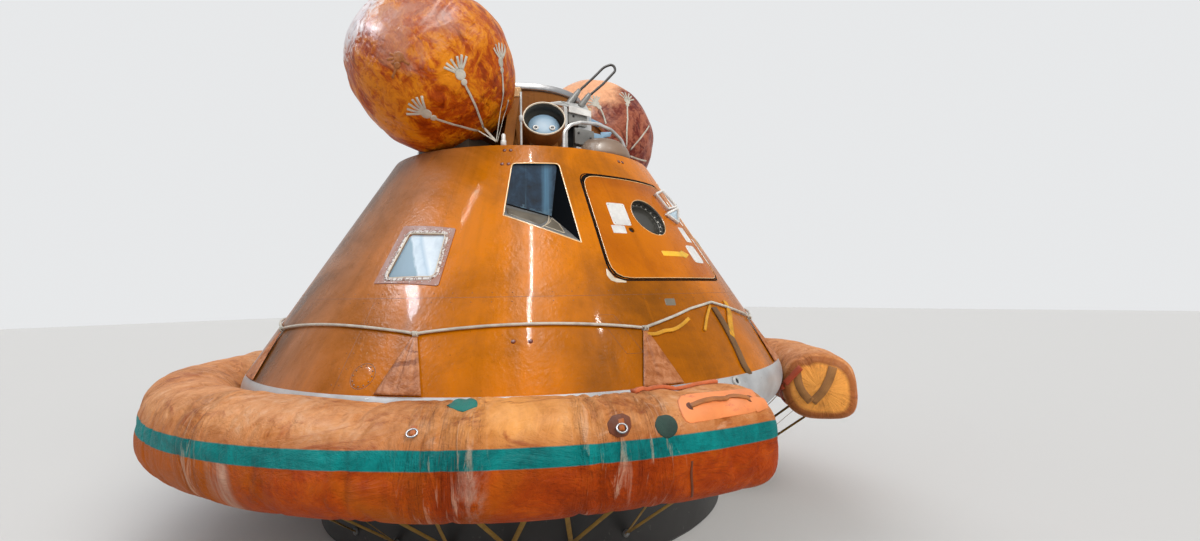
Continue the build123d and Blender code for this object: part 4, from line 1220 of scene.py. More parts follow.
def makeSeams():
    # each a strap section carried along its line on the cone
    azimuth = np.linspace(0, 360, 361)
    path = onCone(azimuth, seams["level"], seams["depth"] / 2)
    addStrap("seamLevel", path, coneNormal(azimuth), seams["width"], seams["depth"], seamBrown)
    spans = [(a, 0.012, seams["level"]) for a in seams["uprights"]]
    spans += [(a, seams["level"], ringHeight) for a in seams["upperUprights"]]
    for index, (azimuth, low, high) in enumerate(spans):
        path = onCone(np.full(9, azimuth), np.linspace(low, high, 9), seams["depth"] / 2)
        addStrap(f"seamUpright_{index + 1}", path, coneNormal(azimuth), seams["width"], seams["depth"],
                 seamBrown)
    loop = loopOnCone(seams["smallPanel"], 0.01, 64)
    addConeBand("smallPanelSeam", loop, seams["panelSection"], seamBrown)


makeSeams()


# Screws, bolts and specks on the skin

screws = {
    "pairs": [(-45.3, 1.395), (-43.1, 1.395), (-45.6, 1.293), (-43.5, 1.293), (0.3, 1.377), (2.4, 1.377),
              (-40.4, 0.245), (-37.6, 0.245)],
    "pairRadius": 0.012,
    "along": 0.024,
    "small": 0.0032,
    "pitch": 3.8,
    "access": (-64.1, 0.086),
    "accessRadius": 0.068,
    "accessGap": [(0.003, -0.001), (0.003, 0.0008), (0.0, 0.0008), (0.0, -0.001)],
}


def makeScrews():
    # domes turned round the cone's normal: red pairs, and rows of small heads beside the seams
    spots = np.array(screws["pairs"])
    mirrored = np.vstack([spots, spots[:4] * [-1, 1]])
    places = onCone(*mirrored.T)
    addDomes("redBolts", places, coneNormal(mirrored[:, 0]), screws["pairRadius"], redScrew, 12)
    azimuth = np.arange(0, 360, screws["pitch"])
    rows = []
    for side in (-1, 1):
        level = seams["level"] + side * screws["along"]
        rows.append(np.column_stack([azimuth, np.full(len(azimuth), level)]))
    for upright in seams["uprights"]:
        height = np.arange(0.04, seams["level"] - 0.03, 0.075)
        offset = math.degrees(screws["along"] / (baseRadius - 0.15))
        for side in (-1, 1):
            rows.append(np.column_stack([np.full(len(height), upright + side * offset), height]))
    spots = np.vstack(rows)
    places = onCone(*spots.T)
    addDomes("seamScrews", places, coneNormal(spots[:, 0]), screws["small"], seamBrown, 6)
    centre = onCone(*screws["access"])
    normal = coneNormal(screws["access"][0])
    radius = screws["accessRadius"]
    loop = conePlace(turned(centre, normal, [(radius, 0.0)], 64)[0, 0])
    addConeBand("accessGap", loop, screws["accessGap"], seamBrown)
    shares = np.array([0.97, 0.94, 0.5, 0.05])[:, None]
    lift = np.array([0.0, 0.0018, 0.0018, 0.0018])[:, None]
    plate = onCone(loop[0].mean() * (1 - shares) + loop[0] * shares,
                   loop[1].mean() * (1 - shares) + loop[1] * shares, lift)
    addGrid("accessPlate", plate, varnish)
    azimuth, height = conePlace(turned(centre, normal, [(radius * 0.84, 0.0)], 12)[0, 0])
    addDomes("accessScrews", onCone(azimuth, height, 0.0015), coneNormal(azimuth), 0.005, seamBrown)


makeScrews()
print("stage: seams and screws made")


# Forward windows: a painted highlight along the edge, dark side walls and a sill in two parts, left and
# right alike

forwardWindow = {
    "azimuth": -34.6,
    "corners": [(-42.4, 0.9055), (-26.66, 0.9097), (-25.1, 0.5391), (-43.8, 0.6569)],
    "radii": [0.03, 0.03, 0.004, 0.004],
    "glassHeight": 0.7244,
    "glassDepth": 0.199,
    "sillCorner": (0.1015, 0.672),
    "sides": 6,
    "stand": 0.0025,
    "edge": [(-0.0045, -0.002), (0.0035, -0.001), (0.003, 0.0015), (-0.0015, 0.0022), (-0.0045, 0.0008)],
    # outlines on the sill: share along it from the left, share inwards
    "sillParts": [("Near", [(0.06, 0.16), (0.045, 0.62), (0.86, 0.9), (0.475, 0.13)]),
                  ("Far", [(0.545, 0.13), (0.895, 0.84), (0.93, 0.62), (0.82, 0.13)])],
    # a sill part's rings: share of its outline, height
    "sillRings": [(1, 0.003), (1, 0.007), (0.97, 0.008), (0.5, 0.008), (0.04, 0.008)],
    # bars on the sill: name, ends, points, height, radius, look
    "sillBars": [("Divider", [(0.5, 0.03), (0.9, 0.95)], 6, 0.009, 0.0045, sillPale),
                 ("Back", [(0.02, 0.93), (0.96, 0.95)], 8, 0.008, 0.004, rubberAndGapShade),
                 ("Frame", [(0.03, 0.8), (0.9, 0.84)], 8, 0.007, 0.003, sillGrey)],
}


def inFrame(side, across, out, height):
    # a window's own frame: across its upright plane, outwards and up; the right one mirrors the left
    rightward, outward = compass(forwardWindow["azimuth"])
    x, y = [across * rightward[axis] + out * outward[axis] for axis in (0, 1)]
    return np.stack([x * -side, y, baseZ + height], axis=-1)


def levelOut(across, height):
    # distance out to the cone across the upright plane: root of radius squared less across squared
    return np.sqrt((baseRadius - coneSlope * height) ** 2 - across ** 2)


def makeForwardWindow(side, label):
    # walls ruled from the outline to the glass: first loop times (1 - share) plus second times share
    spots = np.array(forwardWindow["corners"])
    height = spots[:, 1] * rimHeight
    across = (baseRadius - coneSlope * height) * np.sin(np.radians(spots[:, 0] - forwardWindow["azimuth"]))
    outer = np.stack([across, height], axis=-1)
    depth = baseRadius - coneSlope * forwardWindow["glassHeight"] * rimHeight - forwardWindow["glassDepth"]
    sill = np.array([forwardWindow["sillCorner"][0], depth, forwardWindow["sillCorner"][1] * rimHeight])
    rim = np.column_stack([across, levelOut(across, height), height])
    sillNormal = np.cross(rim[2] - rim[3], sill - rim[3])
    wallNormal = np.cross(rim[1] - rim[2], sill - rim[2])
    # the glass plane meets the side wall under the upper right corner and the sill on the left edge
    right = sill[0] - (wallNormal[2] * (height[1] - sill[2])) / wallNormal[0]
    left = outer[3] + (outer[0] - outer[3]) * 0.17
    lift = sill[2] - (sillNormal[0] * (left[0] - sill[0])) / sillNormal[2]
    inner = np.array([outer[0], (right, height[1]), sill[[0, 2]], (left[0], lift)])
    loops = [divided(roundedLoop(corners, forwardWindow["radii"]), forwardWindow["sides"])
             for corners in (outer, inner)]
    loops = [loop + (loop.mean(0) - loop) * forwardWindow["stand"] * 4 for loop in loops]
    rimOut = levelOut(loops[0][:, 0], loops[0][:, 1]) - 0.002
    share = np.linspace(0, 1, 12)[:, None]
    ruled = [loops[0][:, axis] * (1 - share) + loops[1][:, axis] * share for axis in (0, 1)]
    out = rimOut * (1 - share) + (depth + 0.002) * share
    walls = inFrame(side, ruled[0], out, ruled[1])
    mark = [(5 * corner + 2) * forwardWindow["sides"] for corner in range(4)]
    parts = [("Top", mark[0], mark[1], deepShade), ("Right", mark[1], mark[2], deepShade),
             ("Sill", mark[2], mark[3], ironGrey), ("Left", mark[3], mark[0] + walls.shape[1], deepShade)]
    for name, first, last, look in parts:
        columns = np.arange(first, last + 1) % walls.shape[1]
        thicken(addGrid(f"window{name}_{label}", walls[:, columns], look, form="sheet"), 0.001)
    edgeLoop = divided(roundedLoop(outer, forwardWindow["radii"]), 6)
    edge = inFrame(side, edgeLoop[:, 0], levelOut(edgeLoop[:, 0], edgeLoop[:, 1]), edgeLoop[:, 1])
    addConeBand(f"windowEdge_{label}", conePlace(edge), forwardWindow["edge"], paintedEdgeHighlight)
    near, far, foot = rim[3], rim[2], sill
    back = np.array([left[0], depth, lift])
    normal = unit(sillNormal) * np.sign(sillNormal[2])

    def onSill(spots, lift):
        # shares (s, t) of the sill to a point: its four corners weighed by s and t, raised along its normal
        s, t = np.asarray(spots, float).T[:, :, None]
        place = (near * (1 - s) * (1 - t) + far * s * (1 - t) + back * (1 - s) * t + foot * s * t
                 + normal * lift)
        return inFrame(side, place[:, 0], place[:, 1], place[:, 2])

    for name, outline in forwardWindow["sillParts"]:
        loop = divided(roundedLoop(outline, 0.02, 5), 3)
        middle = loop.mean(0)
        grid = [onSill(middle + (loop - middle) * share, lift)
                for share, lift in forwardWindow["sillRings"]]
        addGrid(f"sill{name}_{label}", np.array(grid), sillGrey)
    rimLoop = onSill(loop, 0.009)
    upright = inFrame(side, *normal) - inFrame(side, 0, 0, 0)
    addHoop(f"sillEdge_{label}", rimLoop, circle(0.0028, 6), upright, sillPale)
    for name, ends, count, lift, radius, look in forwardWindow["sillBars"]:
        line = onSill(np.linspace(*ends, count), lift)
        addBar(f"sill{name}_{label}", line, circle(radius, 8), skyward, look)
        if name == "Back":
            back = line  # the frame bar is weighed by this line and lies inside the cabin


makeForwardWindow(1, "left")
makeForwardWindow(-1, "right")
print("stage: forward windows trimmed")


# Side windows: rivets on the flange, a flaking band and a pale inner edge

sideWindow = {
    "pane": [(-67.5, 0.5886), (-57.4, 0.5782), (-57.0, 0.4082), (-68.4, 0.4061)],
    "radius": 0.026,
    "lift": 0.005,
    "band": [(0.004, 0.0), (0.024, 0.0), (0.0235, 0.0018), (0.0045, 0.0022)],
    "edge": [(-0.001, -0.006), (0.005, 0.0), (0.004, 0.0035), (0.0, 0.0035)],
    "rivets": [(0.014, 28, 0.0042, "dark"), (0.034, 30, 0.0038, "light")],
}


def makeSideWindow(side, label):
    # bands carried round the pane's outline on the cone, and domes at even steps beside it
    corners = np.array(sideWindow["pane"]) * [-side, rimHeight]
    loop = loopOnCone(corners, sideWindow["radius"], 96)
    lifted = lambda profile: [(out, rise + sideWindow["lift"]) for out, rise in profile]
    addConeBand(f"paneBand_{label}", loop, lifted(sideWindow["band"]), flakePaint)
    addConeBand(f"paneEdge_{label}", loop, lifted(sideWindow["edge"]), sillPale)
    for out, count, radius, tone in sideWindow["rivets"]:
        spots = loopOnCone(corners, sideWindow["radius"], count)
        places = coneSection(spots, [(out, sideWindow["lift"] + 0.001)])[0]
        look = redScrew if tone == "dark" else flakePaint
        addDomes(f"paneRivets_{tone}_{label}", places, coneNormal(spots[0]), radius, look)


makeSideWindow(1, "left")
makeSideWindow(-1, "right")
print("stage: side windows trimmed")


# Hatch: a black seal in its gap that also stands for the gap's shade, a painted highlight along its edge,
# its window's clamp, and blank plates

hatch = {
    "corners": [(-20.0, 0.39), (20.0, 0.39), (20.0, 0.8603), (-20.0, 0.8603)],
    "radii": [0.09, 0.09, 0.07, 0.07],
    "sealWide": [(0.001, -0.02), (0.0125, -0.02), (0.0165, 0.0004), (0.016, 0.0012), (0.01, 0.001),
                 (0.001, -0.004)],
    "sealThin": [(0.001, -0.02), (0.0125, -0.02), (0.015, 0.0004), (0.0145, 0.0012), (0.01, 0.001),
                 (0.001, -0.004)],
    "innerCorners": [(-19.85, 0.3925), (19.85, 0.3925), (19.85, 0.858), (-19.85, 0.858)],
    "innerRadii": [0.105, 0.105, 0.125, 0.125],
    "edge": [(-0.0045, 0.0006), (-0.0006, 0.0006), (-0.0004, 0.0022), (-0.002, 0.003), (-0.0045, 0.0022)],
    "open": 18.6,
    "flakes": [(-20.75, 0.625), (-20.55, 0.59), (-19.85, 0.566), (-18.9, 0.552), (-17.0, 0.5475),
               (-17.2, 0.538),
               (-19.4, 0.54), (-20.6, 0.552), (-21.2, 0.58), (-21.0, 0.612)],
    "window": 0.6736,
    "windowRadius": 0.145,
    "paneDepth": 0.048,
    "clamp": [(0.144, 0.0), (0.144, 0.007), (0.124, 0.007), (0.121, 0.004), (0.121, 0.0)],
    "clampBolts": 20,
    "boltCircle": (0.133, 0.006),
    "windowEdge": [(-0.003, -0.006), (0.002, -0.0005), (0.0015, 0.001), (-0.0015, 0.0012)],
    "bore": [(0.1435, -0.003), (0.1435, -0.02), (0.1435, -0.044), (0.1235, -0.046)],
    "innerPane": [(0.122, 0.0005), (0.122, 0.003), (0.06, 0.0034), (0.004, 0.0034)],
    "studCircle": (0.1425, -0.026),
    "port": [(0.0195, -0.002), (0.0195, 0.0), (0.004, 0.001)],
    # plates' screws: middle, reach from it
    "plateScrews": [((-11.6, 0.97), (2.5, 0.062)), ((13.4, 0.73), (2.4, 0.046))],
    # name, corners, corner radius, depth, look
    "plates": [
        ("upperPlate", [(-14.7, 0.895), (-8.9, 0.895), (-8.3, 1.045), (-14.6, 1.045)], 0.012, 0.0022,
         whitePaint),
        ("lowerPlate", [(-15.7, 0.841), (-11.6, 0.841), (-11.5, 0.892), (-15.7, 0.892)], 0.006, 0.0022,
         whitePaint),
        ("roundPlate", [(10.3, 0.669), (16.5, 0.669), (16.2, 0.791), (10.3, 0.791)], 0.035, 0.0026,
         whitePaint),
        ("smallPlate", [(13.7, 0.818), (17.9, 0.818), (17.7, 0.924), (13.7, 0.924)], 0.01, 0.0024,
         whitePaint),
        ("arrow", [(-2.7, 0.706), (6.2, 0.706), (6.2, 0.694), (9.2, 0.722), (6.2, 0.75), (6.2, 0.738),
                   (-2.7, 0.738)],
         0.0012, 0.0018, yellowPaint),
    ],
    "bracket": [(11.0, 1.15), (13.0, 1.152), (14.2, 1.03), (13.0, 1.04)],
    "bracketRise": [0.02, 0.06, 0.072, 0.022],
    "triangle": [(9.6, 1.0), (14.6, 1.02), (15.0, 0.95)],
    "triangleRise": [0.018, 0.07, 0.016],
}


def makeHatchSeal():
    # black seal and bands carried round the hatch's outline, partly a rubber seal and partly painted shade
    # of its gap; the seal goes from thin to wide over 4 degrees
    corners, inside = [np.array(hatch[kind]) * [1, rimHeight] for kind in ("corners", "innerCorners")]
    loop = loopOnCone(corners, hatch["radii"], 240)
    inner = loopOnCone(inside, hatch["innerRadii"], 240)
    kept = loop[0] < hatch["open"]
    first = int(np.argmax(kept & ~np.roll(kept, 1)))
    part = [np.roll(row, -first)[:kept.sum()] for row in loop]
    wide, thin = [coneSection(part, hatch[kind], closed=False) for kind in ("sealWide", "sealThin")]
    share = np.clip((-part[0] - 15) / 4, 0, 1)[None, :, None]
    addGrid("hatchSealAndGapShade", np.moveaxis(wide * share + thin * (1 - share), 0, 1), rubberAndGapShade)
    rings = [onCone(*line, lift) for line, lift in ((loop, 0), (loop, 0.0008), (inner, 0.001), (inner, 0))]
    addGrid("hatchCornerBand", np.array(rings), rubberAndGapShade, "hatch", "hoop")
    addConeBand("hatchEdge", inner, hatch["edge"], paintedEdgeHighlight, "hatch")
    addConePlate("sealFlakes", hatch["flakes"], 0.003, 0.0014, sillPale)


def makeHatchWindow():
    # profiles turned about the window's axis, from its pane's seat or from its middle on the cone
    normal = coneNormal(0.0)
    centre = onCone(0.0, hatch["window"] * rimHeight)
    seat = centre - normal * hatch["paneDepth"]
    addGrid("hatchWindowClamp", turned(seat, normal, hatch["clamp"], 64)[0], darkOlive, "hatch", "hoop")
    bolts = turned(seat, normal, [hatch["boltCircle"]], hatch["clampBolts"])[0, 0]
    addDomes("hatchWindowBolts", bolts, normal, [0.0062, 0.012], screwMetal, body="hatch")
    spots = conePlace(turned(centre, normal, [(hatch["windowRadius"] + 0.001, 0.0)], 72)[0, 0])
    addConeBand("hatchWindowEdge", spots, hatch["windowEdge"], paintedEdgeHighlight, "hatch")
    thicken(addGrid("hatchBore", turned(centre, normal, hatch["bore"], 72)[0], darkOlive, "hatch", "tube"),
            0.0008)
    addTurned("hatchDarkPane", seat, normal, hatch["innerPane"], darkOlive, 48, "hatch")
    across = np.array([1.0, 0, 0])
    turns = np.radians(np.linspace(-75, 75, 11))
    way = np.outer(np.cos(turns), across) + np.outer(np.sin(turns), np.cross(normal, across))
    reach, rise = hatch["studCircle"]
    addDomes("hatchBoreStuds", centre + way * reach + normal * rise, -way, [0.0065, 0.012], blackPaint,
             body="hatch")


def makeHatchTrim():
    # plates that follow the cone, and hoops through raised corners with a straight post from each foot
    port = onCone(-9.6, 0.6039 * rimHeight, -0.012)
    addTurned("toolPortShade", port, coneNormal(-9.6), hatch["port"], blackPaint, 20, "hatch")
    for name, outline, radius, depth, look in hatch["plates"]:
        addConePlate(name, outline, radius, depth, look, "hatch")
    for name, kind in (("hatchBracket", "bracket"), ("hatchTriangle", "triangle")):
        spots = np.array(hatch[kind])
        corner = onCone(*spots.T, np.array(hatch[kind + "Rise"]))
        path = divided(roundedLoop(corner, 0.006, 4), 2)
        addHoop(name, path, rectangle(0.018, 0.014), coneNormal(spots[:, 0].mean()), whitePaint, "hatch")
        posts = np.linspace(onCone(*spots.T), corner, 3, axis=1)
        grid = carried(posts, circle(0.005, 8), [1.0, 0, 0])
        addGrid(name + "Posts", grid, whitePaint, "hatch")
    # the triangle's sheet: rings about its middle, the lower two dropped by its thickness
    corner = onCone(*spots.T, np.array(hatch["triangleRise"]) - 0.004)
    middle = corner.mean(0)
    loop = divided(corner, 3)
    rings = ((0.05, 0.0), (1, 0.0), (1, 0.004), (0.05, 0.004))
    fill = np.array([middle + (loop - middle) * share - coneNormal(0.0) * drop for share, drop in rings])
    addGrid("hatchTriangleFill", fill, paleSheet, "hatch")
    ways = np.array([(-1, -1), (-1, 1), (1, -1), (1, 1)])
    heads = np.vstack([np.array(middle) + ways * reach for middle, reach in hatch["plateScrews"]])
    addDomes("plateScrews", onCone(*heads.T, 0.002), coneNormal(heads[:, 0]), 0.0042, screwMetal,
             body="hatch")


makeHatchSeal()
makeHatchWindow()
makeHatchTrim()
print("stage: hatch dressed")


# Straps, ties and small things on the lower skin

skin = [solid for name, solid in frame["nodes"].items() if name.startswith(("lower_panel", "hatch_sur"))]
skinTree = surfaceTree(*skin)
shieldTree = surfaceTree(frame["nodes"]["aft_heat_shield"])

straps = {
    # name, spots of the picture, width, look
    "onSkin": [
        ("tieStrap", [(645, 334.5), (655, 334.5), (664, 331.5), (673, 330), (681, 325.5), (688, 319)],
         0.021, yellowStrap),
        ("hangingStrap", [(724, 302), (728, 312), (729, 322), (731, 337)], 0.046, yellowStrap),
        ("slopeStrap", [(713, 308), (724, 326), (735, 347), (746, 370), (751, 386)], 0.056, brownStrap),
        ("sideStrap", [(709, 306), (706, 318), (704, 331)], 0.018, yellowStrap),
    ],
    "fadedLabel": [(-9.2, 0.443), (-6.4, 0.442), (-6.9, 0.402), (-9.6, 0.404)],
    "ringEye": (735.5, 381.5),
    "ring": [("ringFitting", [(0.03, 0), (0.03, 0.012), (0.024, 0.016), (0.018, 0.016), (0.016, 0.008),
                              (0.006, 0.008)], paleGrey, 20),
             ("ringEye", [(0.0155, 0.006), (0.0155, 0.01), (0.003, 0.011)], blackPaint, 16)],
}


def makeStraps():
    # straps laid through spots of the picture, and a ring turned about the shield's normal
    for name, spots, width, look in straps["onSkin"]:
        layStrap(name, skinTree, spots, width, 0.01, look)
    addConePlate("fadedLabel", straps["fadedLabel"], 0.003, 0.001, sillGrey, count=32)
    place, normal = seenOn(shieldTree, [straps["ringEye"], (744, 379.5)])
    for name, profile, look, sides in straps["ring"]:
        addTurned(name, place[:1], normal[:1], profile, look, sides)


makeStraps()


# Knots that tie each flap to the rope

knots = {"radius": 0.012, "cord": 0.0042, "turns": 3, "length": 0.03}


def makeKnots():
    # a helix round the rope at each flap's narrow end
    for index in range(flaps["count"]):
        azimuth = flaps["first"] + index * flaps["step"]
        t = np.linspace(0, 1, 40)
        turn = 2 * np.pi * knots["turns"] * t
        centre = onCone(azimuth, rope["atFlap"], rope["lift"])
        along = unit(around(azimuth + 90, 1.0, 0.0) - around(0, 0, 0.0))
        normal = coneNormal(azimuth)
        up = np.cross(normal, along)
        path = (centre + along * ((t - 0.5) * knots["length"])[:, None]
                + knots["radius"] * (np.cos(turn)[:, None] * normal + np.sin(turn)[:, None] * up))
        addBar(f"flapKnot_{index + 1}", path, circle(knots["cord"], 6), along, ropeLook)


makeKnots()
print("stage: straps and knots made")


# Webbing hands on the bags: fingers from a palm, and a strap down to the deck

hands = {
    "fingerWidth": 0.0145,
    "palm": 0.033,
    "depth": 0.0022,
    "strap": 0.014,
    "start": 0.24,
    "wrist": 0.02,
    # bag, look, palm, finger tips, strap, free places (azimuth, radius, height)
    "list": [
        (0, whiteStrap, (426.4, 113.8), [(406.5, 113.8), (407.1, 108.8), (408.4, 103.5), (412.1, 99.3),
                (416.5, 97.0), (421.7, 95.8)],
         [(434.5, 118.2), (453.2, 124.4), (478, 130.6)], [(-48.8, 0.9775, 1.464)]),
        (0, whiteStrap, (460.6, 74.6), [(443.8, 67.2), (446.1, 63.2), (450.7, 59.1), (456.9, 56.2),
                (461.6, 54.7), (466.5, 56.2)],
         [(465, 84.6), (473, 100.7), (483, 127)], [(-48.8, 0.9775, 1.464)]),
        (0, whiteStrap, (501, 62.2), [(493.6, 47.9), (495.4, 44.2), (498.6, 42.9), (501.7, 43.5),
                                      (504.4, 45.4), (505.2, 48.8)],
         [(501.7, 69.7), (502.9, 87.1), (501.5, 104)], [(-48.8, 0.9775, 1.464)]),
        (0, faintCloth, (398.4, 57.0), [(389.7, 53.5), (387.2, 59.7), (392.2, 64.2), (402.5, 54.0),
                (405.5, 60.0), (409.5, 64.6)],
         [(398, 60.0), (396, 69.0), (392.5, 78.0)], []),
        (1, whiteStrap, (595.7, 103.7), [(587.6, 105.4), (587.6, 101.6), (590.3, 97.8), (593.6, 95.6),
                (596.8, 96.1), (599.5, 97.2)],
         [(599.5, 107.5), (603.3, 115.1), (606, 124)], []),
        (1, whiteStrap, (627.2, 101), [(619.1, 94.0), (621.8, 92.4), (625, 92.5), (628.8, 93.6),
                                       (631.5, 96.3), (633.7, 99.5)],
         [(627.2, 106.5), (626.9, 127), (626.1, 147.1)], []),
    ],
    # hidden sides: bag, azimuth and height in degrees about its middle of the palm, and of the strap's end
    "unseen": [(0, -150, 15, -170, -48), (0, 150, 10, 165, -50), (0, 95, 35, 120, -20),
               (1, 150, 12, 165, -48),
               (1, 100, 8, 105, -45), (1, -160, 20, -170, -45)],
    # plain lines: bag, spots, width, free places
    "lines": [(1, [(648.9, 125.4), (639.7, 139), (630.4, 149.8)], 0.014, []),
              (1, [(629.9, 156), (638, 159), (646.2, 161)], 0.014, []),
              (0, [(508, 100), (505, 112)], 0.01, [(-48.4, 0.976, 1.464)])],
}


def makeHand(name, tree, palm, tips, strap, tail, look):
    # palm and fingers as one piece each: finger paths are straight from palm to tip, then laid on the bag
    depth = hands["depth"]
    centre = placesOn(tree, [palm])[0][0]
    ends = placesOn(tree, tips)[0]
    share = np.linspace(hands["start"], 1, 6)[:, None]
    paths = centre * (1 - share) + ends[:, None] * share
    paths, normal = laidOn(tree, paths, depth * 0.8)
    side = np.cross(unit(np.gradient(paths, axis=-2)), normal)
    grid = carried(paths, rectangle(hands["fingerWidth"], depth), side)
    addGrid(f"{name}_fingers", grid, look, us=np.linspace(0, 0.1, 7), vs=np.linspace(0, 0.04, 9))
    layDisc(f"{name}_palm", tree, palm, hands["palm"], depth * 1.6, look)
    wrist = placesOn(tree, [strap[0]])[0][0]
    away = unit(wrist - centre)
    layDisc(f"{name}_wrist", tree, centre + away * hands["palm"] * 1.45, hands["wrist"], depth * 2.2, look)
    layStrap(f"{name}_strap", tree, [palm, *strap], hands["strap"], depth * 1.3, look, tail)


def makeHands():
    # hands at spots of the picture, then hands on the hidden sides at angles about each bag's middle
    for index, (bag, look, palm, tips, strap, tail) in enumerate(hands["list"]):
        free = np.array([around(*place) for place in tail]).reshape(-1, 3)
        makeHand(f"hand_{index + 1}", bagTrees[bag], palm, tips, strap, free, look)
    for index, (bag, turn, rise, endTurn, endRise) in enumerate(hands["unseen"]):
        middle = around(*bags["places"][bag])
        turns = np.radians(np.array([turn, endTurn, *[turn + d for d in (-15, -9, -3, 3, 9, 15)]]))
        rises = np.radians(np.array([rise, endRise, *[rise + d for d in (8, 12, 14, 14, 12, 8)]]))
        way = np.stack([np.cos(rises) * np.sin(turns), -np.cos(rises) * np.cos(turns), np.sin(rises)],
                       axis=-1)
        spots = middle + way * bags["radius"]
        path = list(np.linspace(spots[0], spots[1], 4)[1:])
        makeHand(f"rearHand_{index + 1}", bagTrees[bag], spots[0], list(spots[2:]), path, (), whiteStrap)
    for index, (bag, spots, width, tail) in enumerate(hands["lines"]):
        free = [around(*place) for place in tail]
        layStrap(f"bagLine_{index + 1}", bagTrees[bag], spots, width, 0.003, whiteStrap, free)


makeHands()
print("stage: webbing laid on the bags")


# Forward deck: ring of the tunnel, blocks, pipe, posts, can, bracket and cable sleeves

deck = {
    "ring": [(0.4302, -0.046), (0.4302, 0.0015), (0.4345, 0.004), (0.4625, 0.004), (0.4668, 0.0),
             (0.4668, -0.03),
             (0.464, -0.044), (0.452, -0.047)],
    "ringBolts": 24,
    "gussets": [-45.0, 45.0, 135, 225.0],
    "block": (0.086, 0.07, 0.07),
    "pipes": [(-39.5, 0.9), (140.5, 0.88), (219.5, 0.88)],
    "pipeTop": 0.375,
    "posts": [(-46.4, 0.945), (46.4, 0.945), (133.6, 0.945), (226.4, 0.945)],
    "postProfile": [(0.019, 0.0), (0.019, 0.042), (0.015, 0.047), (0.0135, 0.047), (0.0135, 0.082),
                    (0.008, 0.09), (0.002, 0.091)],
    "canMouth": (-29.3, 0.132, 0.2204),
    "canHeading": -38.0,
    "canRise": 26.0,
    "canLip": [(0.1345, -0.006), (0.1355, 0.003), (0.14, 0.005), (0.1445, 0.002), (0.1445, -0.006),
               (0.14, -0.009)],
    "canCap": [(0.108, -0.11), (0.108, -0.084), (0.098, -0.072), (0.045, -0.064), (0.004, -0.063)],
    "canWall": [(0.1365, 0.0), (0.1365, -0.05), (0.1365, -0.094), (0.09, -0.096)],
    "eyelets": [(-0.056, -0.028), (0.056, -0.028)],
    "eyelet": [(0.021, -0.004), (0.021, 0.006), (0.017, 0.01), (0.011, 0.008), (0.01, -0.004)],
    "eyeletCore": [(0.0105, -0.004), (0.0105, 0.004), (0.002, 0.005)],
    "pipeJoint": [(0.008, -0.02), (0.013, -0.018), (0.013, 0.018), (0.008, 0.02)],
}


def box(name, centre, right, out, size, look, bevel=0.12):
    # block with clipped edges: rings of a clipped rectangle, drawn in at both ends
    right, out = unit(np.asarray(right, float)), unit(np.asarray(out, float))
    up = np.cross(right, out)
    width, depth, height = size
    section = rectangle(width, depth, bevel)
    small = section * (1 - bevel * 0.6)
    rows = [(small, -height / 2), (section, -height / 2 * (1 - bevel)), (section, height / 2 * (1 - bevel)),
            (small, height / 2)]
    grid = np.array([centre + ring[:, :1] * right + ring[:, 1:] * out + up * level for ring, level in rows])
    return addGrid(name, grid, look, smooth=False)


def makeDeck():
    # solids of revolution and clipped boxes at azimuths round the deck, and the can about its own axis
    ring = turned([0, 0, baseZ + tunnelTop], skyward, deck["ring"], 128)[0]
    addGrid("tunnelRing", ring, ringMetal, form="hoop")
    bolts = around(np.arange(deck["ringBolts"]) * 360 / deck["ringBolts"], 0.4485, tunnelTop + 0.003)
    addDomes("tunnelRingBolts", bolts, skyward, 0.01, screwMetal)
    for index, azimuth in enumerate(deck["gussets"]):
        right, out = compass(azimuth)
        spot = around(azimuth, 0.513, tunnelTop - 0.092)
        box(f"gussetBlock_{index + 1}", spot, right, out, deck["block"], bronzePale)
        post = around(*deck["posts"][index], rimHeight - 0.004)
        addTurned(f"deckPost_{index + 1}", post, skyward, deck["postProfile"], whitePaint, 16)
    for index, (azimuthPipe, radius) in enumerate(deck["pipes"]):
        pipe = around(np.full(9, azimuthPipe), radius,
                      np.linspace(rimHeight - 0.02, rimHeight + deck["pipeTop"], 9))
        addBar(f"deckPipe_{index + 1}", pipe, circle(0.0075, 10), [1.0, 0, 0], paleGrey)
        joint = around(azimuthPipe, radius, rimHeight + 0.2)
        addTurned(f"pipeJoint_{index + 1}", joint, skyward, deck["pipeJoint"], paleGrey)
    azimuth, inset, rise = deck["canMouth"]
    mouth = around(azimuth, rimRadius - inset, rimHeight + rise)
    heading, tilt = math.radians(deck["canHeading"]), math.radians(deck["canRise"])
    axis = np.array([math.cos(tilt) * math.sin(heading), -math.cos(tilt) * math.cos(heading),
                     math.sin(tilt)])
    lip = turned(mouth, axis, deck["canLip"], 64)[0]
    addGrid("canLip", lip, sillPale, form="hoop")
    addTurned("canCap", mouth, axis, deck["canCap"], paleBlue, 48)
    level = unit(np.cross(skyward, axis))
    upright = np.cross(axis, level)
    for index, (right, up) in enumerate(deck["eyelets"]):
        spot = mouth + level * right + upright * up - axis * 0.067
        addTurned(f"canEyelet_{index + 1}", spot, axis, deck["eyelet"], whitePaint, 20)
        addTurned(f"canEyeletCore_{index + 1}", spot, axis, deck["eyeletCore"], blackPaint, 16)
    thicken(addGrid("canLining", turned(mouth, axis, deck["canWall"], 64)[0], darkOlive, form="tube"),
            0.0008)


makeDeck()
print("stage: deck fittings made")


# Hoist bracket's plates and bolts, and the sleeves of its cable

